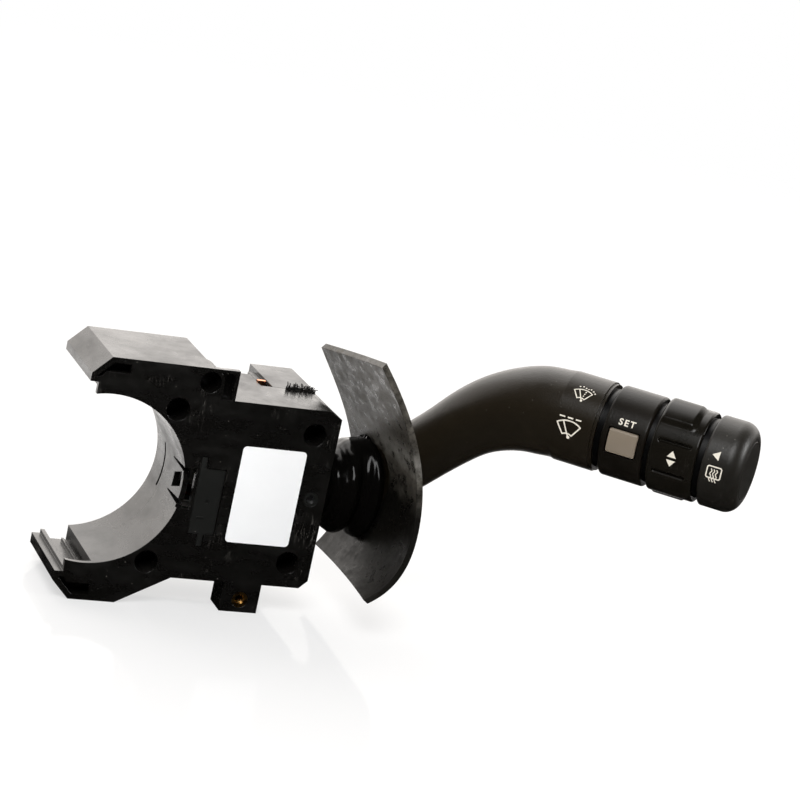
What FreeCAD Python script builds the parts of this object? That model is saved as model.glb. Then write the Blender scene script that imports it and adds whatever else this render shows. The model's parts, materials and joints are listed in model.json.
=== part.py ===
import FreeCAD, Part
import math
import os

Vector = FreeCAD.Vector
Placement = FreeCAD.Placement
Rotation = FreeCAD.Rotation

# Combination stalk switch, in millimetres. The origin is on the steering column's axis, half-way
# through the depth of the housing. +Y runs along the column away from the driver, +X points to
# the stalk and +Z points up.

# Housing
column_radius = 25.0
housing_depth = 31.0
rear_depth = 11.3
wall = 1.6
fit = 0.05
gap = 0.15

# The body and the arms, as distances past the column's surface, up and down
body_rise = 1.8
body_drop = 2.3
top_chamfer_x = 4.0
top_chamfer_z = 2.1
bottom_chamfer = 2.4
cover_left = 13.5

upper_arm_rise = 10.5
lower_arm_drop = 11.1
arm_tip_x = -7.4
arm_step_x = -5.0
arm_step_rise = 3.0
arm_chamfer = 5.1
slope_foot_x = 11.35
slope_top_reach = 1.6

boss_reach = 6.0
boss_corner = 4.1
boss_depth = 9.6
arm_end_reach = 2.5

# Recess between the arm's tip rib and the end of the saddle, and the opening in the arm's front
tip_recess_right = 3.0
tip_recess_rise = 4.4
tip_rib_rise = 1.8
tip_rib = 1.2
tip_floor_rib_x = 1.2
tip_floor_rib = 0.7
slot_right = 3.4
slot_floor_rise = 6.2
slot_start_rise = 4.6

# Round sockets in the front face, each placed by its distances from the nearer end of the cover and
# from the body's top or bottom, with the wall around them, the floor and the screws behind them
upper_socket_inset = (5.5, 4.2)
right_socket_inset = (7.2, 7.5)
lower_socket_inset = (4.9, 4.2)
right_low_socket_inset = (7.4, 7.4)
socket_radius = 3.4
corner_socket_radius = 3.1
socket_wall = 1.5
socket_floor = 1.7
screw_radius = 1.2
screw_length = 16.0
screw_head_radius = 2.6
screw_head_height = 1.6
screw_pilot_depth = 7.0
cover_boss_radius = 3.4

# Latch eye beside the corner boss
eye_length = 4.0
eye_wall = 1.1
eye_bar = 0.9
eye_bar_depth = 2.0

# Snap tongue in the saddle wall, with its window and the notch in front of it
tongue_length = 12.4
tongue_top = 5.0
tongue_bottom = -4.8
tongue_slot_wide = 1.9
tongue_slot_narrow = 0.4
tongue_notch_depth = 2.6
window_back = 10.4
window_front = 3.4
window_height = 4.4
window_drop = 2.4

# Slit in the cover's part of the saddle wall
slit_offset = 1.5
slit_width = 1.1
slit_top = 6.1
slit_bottom = -7.1

# Fixing tab with its threaded brass bush
tab_inset = 13.8
tab_width = 11.4
tab_depth = 8.8
tab_bush_rise = 3.8
bush_radius = 2.4
bush_bore = 1.5
bush_length = 7.0
bush_knurl_band = 0.5

# Contact cover let into the front face, and the blank label plate
cover_plate_clear = 2.4
cover_plate_width = 7.7
cover_plate_top = 6.1
cover_plate_bottom = -13.6
cover_plate_tab = 1.7
cover_plate_top_tab = 3.5
cover_plate_bottom_tab = 3.6
cover_plate_sink = 0.35
cover_rib = 0.5
label_inset = 8.4
label_width = 19.3
label_top = 14.0
label_bottom = -15.0
label_corner = 1.2
label_thickness = 0.15

# Connector block at the back, its terminals, and the copper tab beside it
connector_inset = 2.2
connector_height = 14.0
connector_reach = 12.3
connector_sink = 0.6
connector_wall = 1.3
connector_floor = 2.0
key_rib_width = 2.4
key_rib_drop = 0.9
key_rib_reach = 6.0
terminal_rows = 2
terminal_columns = 5
terminal_pitch = 2.2
terminal_size = 0.64
terminal_reach = 7.0
terminal_margin = 0.95
copper_tab_width = 2.4
copper_tab_thickness = 0.5
copper_tab_rise = 0.5
copper_tab_back = 3.6
copper_tab_foot = 1.3
copper_stem_clear = 1.0
seal_length = 8.6
seal_width = 1.3
seal_height = 0.9
seal_offset = 3.8

# Circuit board with its tracks
board_clear = 2.2
board_inset = 16.0
board_wing_inset = 3.6
board_wing_drop = 12.8
board_top_inset = 2.8
board_bottom_inset = 5.3
board_thickness = 1.6
board_standoff = 0.9
board_pad_radius = 1.5
track_thickness = 0.15
track_width = 2.2
track_inset = 2.0
track_step = 3.6
track_count = 3

# Lift pivot, the cradle that turns on it, and the pull pivot inside the cradle
pivot_inset = 4.4
lever_to_back = 12.5
cradle_length = 9.2
cradle_clear = 0.8
cradle_half_height = 8.7
cradle_plate = 2.2
cradle_cheek = 2.5
cradle_half_gap = 5.5
cradle_web = 2.0
pivot_eye_radius = 2.6
lift_pin_radius = 1.25
pivot_bush_radius = 2.2
pull_offset = 3.6
pull_pin_radius = 1.5
turning_fit = 0.04

# Lever tail: detent plunger with its spring, and the pin that drives the contact slider
plunger_show = 3.4
tail_half_height = 3.5
tail_half_width = 3.0
plunger_radius = 2.0
plunger_reach = 23.0
plunger_length = 8.0
detent_step_deg = 7.0
detent_clear = 0.2
detent_notch = 0.5
detent_overlap = 2.8
detent_width = 6.0
detent_half_height = 9.5
spring_wire = 0.25
coil_steps = 12
detent_turns = 4
return_turns = 2.5
end_spring_turns = 3
drive_pin_radius = 1.5
drive_arm = 17.0
drive_pin_short = 0.4

# Contact slider in its guide frame
guide_clear = 4.28
slider_reach = 2.1
slider_length = 15.7
slider_half_height = 6.0
slider_thickness = 3.0
slider_lift = 0.7
slider_play = 0.12
guide_rail = 2.0
guide_half_height = 13.0
wiper_thickness = 0.3
wiper_gap = 0.2

# Lever core and the stalk's route: it leaves the cradle along +X, turns up and towards the
# driver at the neck bend, and turns level at the grip bend.
root_behind = 3.4
root_ahead = 3.2
root_half_width = 4.6
root_bottom = -5.5
root_top = 4.0
core_radius = 4.2
core_bore = 2.2
core_overlap = 34.0
neck_reach = 18.0
grip_run_right = 30.5
grip_run_forward = 23.6
grip_rise = 38.4
knob_run_right = 28.2
knob_run_forward = 25.85
neck_bend_radius = 14.0
grip_bend_radius = 42.0
loom_radius = 1.6

# Stalk grip
grip_root_radius = 9.4
knob_radius = 13.25
grip_wall = 2.2
grip_taper_start = 26.0
grip_hollow_start = 37.0
grip_end = -8.4
grip_rim = 0.9
loft_sections = 12

# Shroud blade fixed across the stalk: points down its outer face at the front edge and at the back
# edge, as distances from the body's right face and heights, and how far the face swells between them
shroud_front = ((2.5, 47.4), (12.3, 33.6), (19.8, 18.2), (23.3, 0.6), (21.6, -13.4), (12.6, -24.0))
shroud_back = ((2.6, 38.6), (9.0, 29.0), (15.4, 18.0), (20.2, 4.6), (20.6, -9.4), (14.0, -25.1))
shroud_forward = 35.8
shroud_rearward = 13.5
shroud_swell = 1.0
shroud_thickness = 1.8
shroud_centre_inset = 28.0
shroud_centre_z = 4.0

# Rubber boot between the housing and the shroud: how far each fold lies from the housing's wall,
# and its radius there
boot_folds = ((0.2, 13.6), (1.0, 14.2), (2.4, 14.2), (3.8, 11.8), (7.0, 14.0), (8.6, 14.0),
              (11.8, 11.0), (15.0, 14.0), (16.6, 14.0), (19.4, 10.2), (21.6, 8.6))
boot_skin = 1.0
boot_shroud_gap = 0.4
wall_opening_radius = 10.5

# Knob pieces, placed along the knob's axis from the middle of the button band
band_wall = 1.65
spindle_wall = 1.8
spindle_start = -19.0
spindle_end = 26.0
band_half = 6.5
edge_round = 0.8
button_half_length = 4.5
button_half_height = 3.65
button_gap = 0.2
button_proud = 0.35
button_thickness = 1.7
button_travel = 0.8
button_stem = 3.0
knob_board_offset = 3.4
knob_board_thickness = 1.2
knob_board_half_width = 8.0
knob_board_start = -17.0
knob_board_end = 21.5
tact_half = 3.0
tact_height = 3.4
plug_length = 6.0
plug_half = 2.5
ring_start = 8.0
ring_end = 21.7
ring_play = 0.1
ring_travel_deg = 15.0
ring_lug_height = 1.0
ring_lug_start = 9.0
ring_lug_end = 18.4
ring_lug_centre_deg = 68.0
ring_lug_half_deg = 22.0
ring_groove_deg = (19.4, -21.5)
ring_groove_width = 0.9
ring_groove_depth = 0.6
ring_groove_start = 10.2
ring_groove_end = 19.6
ball_radius = 1.2
ball_rise = 0.4
ball_clear = 0.2
cap_start = 23.4
cap_end = 34.5
cap_round = 4.4
cap_web = 1.0
cap_web_start = 27.0
end_disc_radius = 8.7
end_disc_thickness = 2.4
end_disc_gap = 0.12
end_disc_round = 0.4
end_stem_radius = 2.0
end_travel = 1.2
end_stem_gap = 0.3

front_y = -housing_depth / 2
back_y = housing_depth / 2
joint_y = back_y - rear_depth
inner_front_y = front_y + wall
inner_back_y = back_y - wall
saddle_outer = column_radius + wall
beyond = 60.0

# The body is as long as the slider, the arm that drives it and the lift pivot need beside the column
slider_left = saddle_outer + guide_clear + guide_rail + slider_play
slider_right = slider_left + slider_length
pivot_x = slider_right - slider_reach + drive_arm
body_right = pivot_x + pivot_inset
body_top = column_radius + body_rise
body_bottom = column_radius + body_drop
upper_arm_top = column_radius + upper_arm_rise
lower_arm_bottom = column_radius + lower_arm_drop
arm_step_z = column_radius + arm_step_rise
slope_top_x = column_radius + slope_top_reach
boss_right = column_radius + boss_reach
arm_end_x = column_radius + arm_end_reach
tip_recess_floor = column_radius + tip_recess_rise
tip_rib_height = column_radius + tip_rib_rise
slot_floor = column_radius + slot_floor_rise
slot_start = column_radius + slot_start_rise

upper_socket = (cover_left + upper_socket_inset[0], body_top - upper_socket_inset[1])
right_socket = (body_right - right_socket_inset[0], body_top - right_socket_inset[1])
lower_socket = (cover_left + lower_socket_inset[0], lower_socket_inset[1] - body_bottom)
right_low_socket = (body_right - right_low_socket_inset[0], right_low_socket_inset[1] - body_bottom)
socket_depth = joint_y - front_y - screw_pilot_depth - socket_floor
eye_right = boss_right + eye_length

tab_right = body_right - tab_inset
tab_left = tab_right - tab_width
tab_bush_z = tab_bush_rise - lower_arm_bottom
cover_plate_left = saddle_outer + cover_plate_clear
cover_plate_right = cover_plate_left + cover_plate_width
label_right = body_right - label_inset
label_left = label_right - label_width

connector_right = body_right - connector_inset
connector_width = (terminal_columns - 1) * terminal_pitch + 2 * (terminal_margin + connector_wall)
connector_left = connector_right - connector_width
connector_bottom = body_top - connector_height
copper_right = connector_left - key_rib_width / 2
copper_left = copper_right - copper_tab_width
seal_left = connector_left + seal_offset
board_left = saddle_outer + board_clear
board_right = body_right - board_inset
board_wing_right = body_right - board_wing_inset
board_wing_bottom = body_top - board_wing_drop
board_top = body_top - board_top_inset
board_bottom = board_bottom_inset - body_bottom

lever_y = back_y - lever_to_back
cradle_right = pivot_x - cradle_clear
cradle_left = cradle_right - cradle_length
pull_x = pivot_x - pull_offset
root_left = pull_x - root_behind
root_right = pull_x + root_ahead
tail_left = pivot_x - plunger_reach + plunger_show
detent_right = pivot_x - plunger_reach + detent_overlap
detent_left = detent_right - detent_width

neck_bend = Vector(body_right + neck_reach, lever_y, 0)
grip_bend = neck_bend.add(Vector(grip_run_right, -grip_run_forward, grip_rise))
knob_centre = grip_bend.add(Vector(knob_run_right, -knob_run_forward, 0))
spindle_radius = knob_radius - band_wall
shroud_front_y = lever_y - shroud_forward
shroud_back_y = lever_y + shroud_rearward

knob_azimuth = math.atan2(knob_centre.y - grip_bend.y, knob_centre.x - grip_bend.x)
cradle_front_y = lever_y - cradle_half_gap - cradle_cheek
cradle_back_y = lever_y + cradle_half_gap + cradle_cheek
board_back_y = inner_back_y - board_standoff
board_front_y = board_back_y - board_thickness
tail_front_y = lever_y - tail_half_width
tail_back_y = lever_y + tail_half_width
slider_front_y = tail_back_y + slider_lift
slider_back_y = slider_front_y + slider_thickness
connector_front_y = inner_back_y - connector_sink
connector_back_y = back_y + connector_reach


def box(x0, x1, y0, y1, z0, z1):
    return Part.makeBox(x1 - x0, y1 - y0, z1 - z0, Vector(x0, y0, z0))


def rod(radius, start, end):
    return Part.makeCylinder(radius, end.sub(start).Length, start, end.sub(start))


def rod_y(radius, x, z, y0, y1):
    return rod(radius, Vector(x, y0, z), Vector(x, y1, z))


def prism_y(points, y0, y1):
    """Extrude an outline of (x, z) points from y0 to y1."""
    corners = [Vector(x, y0, z) for x, z in points]
    face = Part.Face(Part.makePolygon(corners + corners[:1]))
    return face.extrude(Vector(0, y1 - y0, 0))


def prism_x(points, x0, x1):
    """Extrude an outline of (y, z) points from x0 to x1."""
    corners = [Vector(x0, y, z) for y, z in points]
    face = Part.Face(Part.makePolygon(corners + corners[:1]))
    return face.extrude(Vector(x1 - x0, 0, 0))


def fused(shapes):
    return shapes[0].multiFuse(shapes[1:]).removeSplitter() if len(shapes) > 1 else shapes[0]


def coil(radius, wire, pitch, turns):
    """A round-wire spring that starts at the origin and rises along +Z."""
    steps = round(turns * coil_steps)
    points = []
    for index in range(steps + 1):
        angle = 2 * math.pi * index / coil_steps
        rise = pitch * index / coil_steps
        points.append(Vector(radius * math.cos(angle), radius * math.sin(angle), rise))
    section = Part.Wire(Part.makeCircle(wire, points[0], points[1].sub(points[0])))
    return Part.makePolygon(points).makePipeShell([section], True, False, 1)


def placed(shape, origin, rotation):
    moved = shape.copy()
    moved.Placement = Placement(origin, rotation).multiply(shape.Placement)
    return moved


def column_bore(radius):
    return rod_y(radius, 0, 0, front_y - beyond, back_y + beyond)


# Housing outlines

def body_outline(inset=0.0):
    """The rectangular body to the right of the column, which the rear cover closes."""
    top = body_top - inset
    bottom = -body_bottom + inset
    right = body_right - inset
    return [(cover_left + inset, top),
            (right - top_chamfer_x, top),
            (right, top - top_chamfer_z),
            (right, bottom + bottom_chamfer),
            (right - bottom_chamfer, bottom),
            (cover_left + inset, bottom)]


def housing_outline():
    """Both arms and the body, seen from the driver. The saddle is cut out afterwards."""
    return [(arm_step_x, 0.0),
            (arm_step_x, arm_step_z),
            (arm_tip_x, arm_step_z),
            (arm_tip_x, upper_arm_top - arm_chamfer),
            (arm_tip_x + arm_chamfer, upper_arm_top),
            (boss_right, upper_arm_top),
            (boss_right, body_top),
            (body_right - top_chamfer_x, body_top),
            (body_right, body_top - top_chamfer_z),
            (body_right, -body_bottom + bottom_chamfer),
            (body_right - bottom_chamfer, -body_bottom),
            (slope_top_x, -body_bottom),
            (slope_foot_x, -lower_arm_bottom),
            (arm_tip_x + arm_chamfer, -lower_arm_bottom),
            (arm_tip_x, -lower_arm_bottom + arm_chamfer),
            (arm_tip_x, -arm_step_z),
            (arm_step_x, -arm_step_z)]


def arm_cavity(side, arm_height, far_end):
    """Hollow of one arm. side is 1 for the upper arm and -1 for the lower one."""
    roof = arm_height - wall
    corner = wall * math.tan(math.radians(22.5))
    floor = tip_recess_floor + wall
    inner = arm_tip_x + wall
    points = [(inner, slot_start),
              (inner, arm_height - arm_chamfer - corner),
              (arm_tip_x + arm_chamfer + corner, roof)]
    points += far_end
    points += [(cover_left - wall, 0.0),
               (tip_recess_right + wall, 0.0),
               (tip_recess_right + wall, floor),
               (inner + 2 * tip_rib, floor),
               (inner + tip_rib, slot_start)]
    outline = [(x, side * z) for x, z in points]
    return prism_y(outline, inner_front_y, back_y + wall).cut(column_bore(saddle_outer))


def arm_slot(side, arm_height):
    """Opening in the arm's front wall that follows the chamfer of its tip."""
    roof = arm_height - wall
    inner = arm_tip_x + wall
    points = [(inner, slot_start),
              (inner + tip_rib, slot_start),
              (inner + 2 * tip_rib, slot_floor),
              (slot_right, slot_floor),
              (slot_right, roof),
              (arm_tip_x + arm_chamfer + wall / 2, roof),
              (inner, arm_height - arm_chamfer - wall / 2)]
    outline = [(x, side * z) for x, z in points]
    return prism_y(outline, front_y - wall, inner_front_y + wall)


def tip_recess(side):
    """Space behind the front lip between the arm's tip and the end of the saddle wall."""
    low, high = sorted((side * tip_recess_floor, 0.0))
    recess = box(arm_step_x + tip_rib, tip_recess_right, inner_front_y, back_y + wall, low, high)
    rib_low, rib_high = sorted((side * tip_rib_height, 0.0))
    over_rib = box(arm_step_x - wall, arm_step_x + 2 * tip_rib, inner_front_y, back_y + wall,
                   rib_low, rib_high)
    return recess.fuse(over_rib)


def tip_floor_ribs(side):
    floor_rib = box(tip_floor_rib_x, tip_floor_rib_x + tip_floor_rib, inner_front_y,
                    back_y - wall, -tip_floor_rib / 2, tip_floor_rib)
    floor_rib.translate(Vector(0, 0, side * (tip_recess_floor - tip_floor_rib / 2)))
    return floor_rib


def tongue_slot(height):
    half = tongue_slot_wide / 2
    tip = tongue_slot_narrow / 2
    start = front_y - wall
    end = front_y + tongue_length
    outline = [(start, height - half), (end, height - tip), (end, height + tip), (start, height + half)]
    return prism_x(outline, column_radius - 2 * wall, saddle_outer + wall)


def tongue_window():
    low = (tongue_top + tongue_bottom - window_height) / 2
    back = front_y + window_back
    front = front_y + window_front
    outline = [(back, low - window_drop / 2), (back, low + window_height - window_drop / 2),
               (front, low + window_height + window_drop / 2), (front, low + window_drop / 2)]
    return prism_x(outline, column_radius - 2 * wall, saddle_outer + wall)


def latch_eye():
    """A square eye of thin walls between the corner boss and a gusset on the body's top."""
    bar = box(arm_end_x, eye_right, front_y, front_y + eye_bar_depth,
              upper_arm_top - eye_bar, upper_arm_top)
    gusset = prism_x([(front_y, body_top - wall / 2),
                      (front_y, upper_arm_top),
                      (front_y + eye_bar_depth, upper_arm_top),
                      (joint_y, body_top),
                      (joint_y, body_top - wall / 2)],
                     eye_right - eye_wall, eye_right)
    return bar.fuse(gusset)


def socket_bores():
    """Every round socket: place, radius and depth."""
    corner = (boss_right - boss_corner, upper_arm_top - boss_corner)
    places = [upper_socket, right_socket, lower_socket, right_low_socket]
    bores = [(place, socket_radius, socket_depth) for place in places]
    return bores + [(corner, corner_socket_radius, boss_depth - wall)]


def screw_places():
    return [upper_socket, lower_socket, right_low_socket]


def front_shell():
    outer = prism_y(housing_outline(), front_y, back_y)
    behind_boss = box(arm_end_x, boss_right + wall, front_y + boss_depth, back_y + wall,
                      body_top, upper_arm_top + wall)
    outer = outer.cut(behind_boss)
    corner_edge = [edge for edge in outer.Edges
                   if abs(edge.BoundBox.XMin - boss_right) < fit
                   and abs(edge.BoundBox.ZMin - upper_arm_top) < fit
                   and edge.BoundBox.YLength > boss_depth - fit]
    outer = outer.makeFillet(boss_corner, corner_edge)
    outer = outer.cut(column_bore(column_radius))
    cover_space = prism_y(body_outline(-beyond), joint_y, back_y + wall)
    cover_space = cover_space.common(box(cover_left, body_right + wall, joint_y, back_y + wall,
                                         -body_bottom, body_top))
    shell = outer.cut(cover_space)

    body_cavity = prism_y(body_outline(wall), inner_front_y, joint_y + wall)
    body_cavity = body_cavity.cut(column_bore(saddle_outer))
    slope = (slope_top_x - slope_foot_x) / (lower_arm_bottom - body_bottom)
    slope_wall = wall * math.hypot(1.0, slope)
    upper_end = [(arm_end_x - wall, upper_arm_top - wall),
                 (arm_end_x - wall, body_top + wall),
                 (cover_left - wall, body_top + wall)]
    lower_end = [(slope_foot_x + slope * wall - slope_wall, lower_arm_bottom - wall),
                 (slope_top_x - slope * wall - slope_wall, body_bottom + wall),
                 (cover_left - wall, body_bottom + wall)]
    upper_cavity = arm_cavity(1, upper_arm_top, upper_end)
    lower_cavity = arm_cavity(-1, lower_arm_bottom, lower_end)
    shell = shell.cut(Part.makeCompound([body_cavity, upper_cavity, lower_cavity]))

    bosses = [rod_y(radius + socket_wall, place[0], place[1], front_y, joint_y)
              for place, radius, depth in socket_bores()[:-1]]
    corner_place = socket_bores()[-1][0]
    bosses.append(rod_y(boss_corner, corner_place[0], corner_place[1], front_y, front_y + boss_depth))
    bosses.append(rod_y(pivot_bush_radius + wall, pivot_x, 0, front_y, cradle_front_y - gap * 2))
    inside_body = [boss.common(outer).cut(column_bore(column_radius)) for boss in bosses]
    tab = box(tab_left, tab_right, front_y, front_y + tab_depth, -lower_arm_bottom, -body_bottom + wall)
    tip_ribs = [tip_floor_ribs(1), tip_floor_ribs(-1)]
    shell = shell.cut(Part.makeCompound([tip_recess(1), tip_recess(-1)]))
    shell = shell.multiFuse(inside_body + [tab, latch_eye()] + tip_ribs)

    cuts = [rod_y(radius, place[0], place[1], front_y - wall, front_y + depth)
            for place, radius, depth in socket_bores()]
    cuts += [rod_y(screw_radius + fit, place[0], place[1], joint_y - screw_pilot_depth, joint_y + wall)
             for place in screw_places()]
    cuts += [arm_slot(1, upper_arm_top), arm_slot(-1, lower_arm_bottom)]
    cuts += [tongue_slot(tongue_top), tongue_slot(tongue_bottom), tongue_window()]
    cuts.append(box(column_radius - 2 * wall, saddle_outer + tongue_notch_depth / 2,
                    front_y - wall, inner_front_y, tongue_bottom - wall, tongue_top))
    cuts.append(rod_y(pivot_bush_radius + fit, pivot_x, 0, front_y - wall, cradle_front_y))
    cuts.append(rod_y(bush_radius + fit, (tab_left + tab_right) / 2, tab_bush_z,
                      front_y - wall, front_y + bush_length))
    cuts.append(contact_cover_outline(gap, front_y - wall, inner_front_y + wall))
    cuts.append(rod(wall_opening_radius, Vector(cradle_right + gap, lever_y, 0),
                    Vector(body_right + wall, lever_y, 0)).cut(
                        box(cradle_right, body_right - wall, -beyond, beyond, -beyond, beyond)))
    return shell.cut(Part.makeCompound(cuts)).removeSplitter()


def contact_cover_outline(spare, y0, y1):
    """The ribbed cover's plate with a tab at each end, grown by the spare gap."""
    plate = box(cover_plate_left - spare, cover_plate_right + spare, y0, y1,
                cover_plate_bottom - spare, cover_plate_top + spare)
    top_tab = box(cover_plate_left - spare, cover_plate_left + cover_plate_tab + spare, y0, y1,
                  cover_plate_top - wall, cover_plate_top + cover_plate_top_tab + spare)
    low_tab_left = (cover_plate_left + cover_plate_right - cover_plate_tab) / 2
    low_tab = box(low_tab_left - spare, low_tab_left + cover_plate_tab + spare, y0, y1,
                  cover_plate_bottom - cover_plate_bottom_tab - spare, cover_plate_bottom + wall)
    return fused([plate, top_tab, low_tab])


def contact_cover():
    plate = contact_cover_outline(0.0, front_y + cover_plate_sink, inner_front_y)
    middle = (cover_plate_left + cover_plate_right) / 2
    rib_bottom = cover_plate_bottom + 3 * wall
    cross_rib = box(cover_plate_left + wall, middle, front_y + cover_plate_sink - cover_rib / 2,
                    inner_front_y, rib_bottom, rib_bottom + cover_rib)
    dimple = rod_y(cover_rib, middle, (cover_plate_top + cover_plate_bottom) / 2,
                   front_y, front_y + cover_plate_sink + cover_rib)
    return plate.fuse(cross_rib).cut(dimple)


def label_plate():
    plate = box(label_left, label_right, front_y - label_thickness, front_y, label_bottom, label_top)
    corners = [edge for edge in plate.Edges if edge.BoundBox.YLength > label_thickness / 2]
    return plate.makeFillet(label_corner, corners)


def rear_cover():
    outer = prism_y(body_outline(), joint_y, back_y)
    cavity = prism_y(body_outline(wall), joint_y - wall, inner_back_y).cut(column_bore(saddle_outer))
    cover = outer.cut(column_bore(column_radius)).cut(cavity)
    inside = outer.cut(column_bore(column_radius))
    bosses = [rod_y(cover_boss_radius, place[0], place[1], joint_y, back_y) for place in screw_places()]
    bosses.append(rod_y(pivot_bush_radius + wall, pivot_x, 0, cradle_back_y + 2 * gap, back_y))
    bosses += [rod_y(board_pad_radius, x, z, board_back_y, back_y)
               for x in (board_left + 2 * board_pad_radius, board_right - 2 * board_pad_radius)
               for z in (board_bottom + 2 * board_pad_radius, board_top - 2 * board_pad_radius)]
    cover = cover.multiFuse([boss.common(inside) for boss in bosses])

    cuts = [rod_y(screw_radius + gap, place[0], place[1], joint_y - wall, back_y + wall)
            for place in screw_places()]
    cuts += [rod_y(screw_head_radius + gap, place[0], place[1], back_y - screw_head_height, back_y + wall)
             for place in screw_places()]
    cuts.append(rod_y(pivot_bush_radius + fit, pivot_x, 0, cradle_back_y, back_y + wall))
    cuts.append(box(column_radius - wall, saddle_outer + wall, joint_y + slit_offset,
                    joint_y + slit_offset + slit_width, slit_bottom, slit_top))
    cuts.append(box(copper_left - gap, body_right + wall, joint_y - wall, back_y + wall,
                    body_top - wall, body_top + wall))
    cuts.append(box(connector_left - key_rib_width - gap, connector_right + gap, inner_back_y - wall,
                    back_y + wall, connector_bottom - gap, body_top + wall))
    cuts.append(rod(wall_opening_radius, Vector(body_right - wall, lever_y, 0),
                    Vector(body_right + wall, lever_y, 0)))
    return cover.cut(Part.makeCompound(cuts)).removeSplitter()


def cover_screws():
    screws = []
    for x, z in screw_places():
        head = rod_y(screw_head_radius, x, z, back_y - screw_head_height, back_y)
        recess = rod_y(screw_head_radius / 2, x, z, back_y - screw_head_height / 2, back_y + wall)
        shank = rod_y(screw_radius, x, z, back_y - screw_length, back_y - screw_head_height)
        screws.append(head.cut(recess).fuse(shank))
    return Part.makeCompound(screws)


def brass_insert():
    x = (tab_left + tab_right) / 2
    bush = rod_y(bush_radius, x, tab_bush_z, front_y + fit, front_y + bush_length)
    waist = rod_y(bush_radius + wall, x, tab_bush_z, front_y + bush_length / 2 - bush_knurl_band,
                  front_y + bush_length / 2 + bush_knurl_band)
    core = rod_y(bush_radius - bush_knurl_band / 2, x, tab_bush_z, front_y, front_y + bush_length)
    bore = rod_y(bush_bore, x, tab_bush_z, front_y - wall, front_y + bush_length + wall)
    return bush.cut(waist.cut(core)).cut(bore)


def pivot_bushes():
    front = rod_y(pivot_bush_radius, pivot_x, 0, front_y + fit, cradle_front_y - 2 * gap)
    rear = rod_y(pivot_bush_radius, pivot_x, 0, cradle_back_y + 2 * gap, back_y - fit)
    bore = rod_y(lift_pin_radius + turning_fit, pivot_x, 0, front_y - wall, back_y + wall)
    return Part.makeCompound([front.cut(bore), rear.cut(bore)])


# Connector, board and contacts

def connector_shroud():
    """A socket that opens backwards, with its top plate carried forward to the housing's joint."""
    top = body_top
    block = box(connector_left, connector_right, connector_front_y, connector_back_y,
                connector_bottom, top)
    socket = box(connector_left + connector_wall, connector_right - connector_wall,
                 connector_front_y + connector_floor, connector_back_y + wall,
                 connector_bottom + connector_wall, top - connector_wall)
    roof = box(connector_left, connector_right, joint_y + gap, connector_front_y + wall,
               top - wall + fit, top)
    key_rib = box(connector_left - key_rib_width, connector_left, connector_front_y,
                  back_y + key_rib_reach, connector_bottom, top - key_rib_drop)
    shroud_block = fused([block, roof, key_rib]).cut(socket)
    pins = terminal_boxes(fit, connector_front_y - wall, connector_front_y + connector_floor + wall)
    return shroud_block.cut(Part.makeCompound(pins))


def terminal_boxes(spare, y0, y1):
    half = terminal_size / 2 + spare
    mid_x = (connector_left + connector_right) / 2
    mid_z = (connector_bottom + body_top) / 2
    pins = []
    for row in range(terminal_rows):
        for column in range(terminal_columns):
            x = mid_x + (column - (terminal_columns - 1) / 2) * terminal_pitch
            z = mid_z + (row - (terminal_rows - 1) / 2) * terminal_pitch * 2
            pins.append(box(x - half, x + half, y0, y1, z - half, z + half))
    return pins


def terminal_pins():
    return Part.makeCompound(terminal_boxes(0.0, board_back_y,
                                            connector_front_y + connector_floor + terminal_reach))


def copper_contact():
    """A strip that stands on the board and is bent over in the slot beside the connector."""
    y0 = joint_y + copper_tab_back
    top = body_top + copper_tab_rise
    bend = top - wall
    stem = box(copper_left, copper_right, board_front_y - copper_tab_thickness, board_front_y,
               guide_half_height + copper_stem_clear, bend)
    roof = box(copper_left, copper_right, y0, board_front_y, bend - copper_tab_thickness, bend)
    lip = box(copper_left, copper_right, y0, y0 + copper_tab_thickness, bend - copper_tab_thickness, top)
    head = box(copper_left, copper_right, y0, y0 + copper_tab_foot, top - copper_tab_thickness, top)
    return fused([stem, roof, lip, head])


def torn_seal_strip():
    strip = box(seal_left, seal_left + seal_length, joint_y - seal_width, joint_y,
                body_top, body_top + seal_height)
    long_edges = [edge for edge in strip.Edges
                  if edge.BoundBox.XLength > seal_length / 2 and edge.BoundBox.ZMin > body_top + fit]
    return strip.makeFillet(seal_height / 3, long_edges)


def circuit_board():
    outline = [(board_left, board_bottom), (board_right, board_bottom),
               (board_right, board_wing_bottom), (board_wing_right, board_wing_bottom),
               (board_wing_right, board_top), (board_left, board_top)]
    return prism_y(outline, board_front_y, board_back_y)


def track_places():
    return [slider_left + track_inset + index * track_step for index in range(track_count)]


def contact_tracks():
    """Copper tracks on the board, which end just inside the slider's guide frame."""
    half = guide_half_height - guide_rail - gap
    return Part.makeCompound([box(x, x + track_width, board_front_y - track_thickness, board_front_y,
                                  -half, half) for x in track_places()])


def slider_guide():
    """A frame on the board that the contact slider runs in."""
    left = slider_left - slider_play
    right = slider_right + slider_play
    frame = box(left - guide_rail, right + guide_rail, slider_front_y, board_front_y,
                -guide_half_height, guide_half_height)
    opening = box(left, right, slider_front_y - wall, board_front_y + wall,
                  -guide_half_height + guide_rail, guide_half_height - guide_rail)
    return frame.cut(opening)


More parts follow.
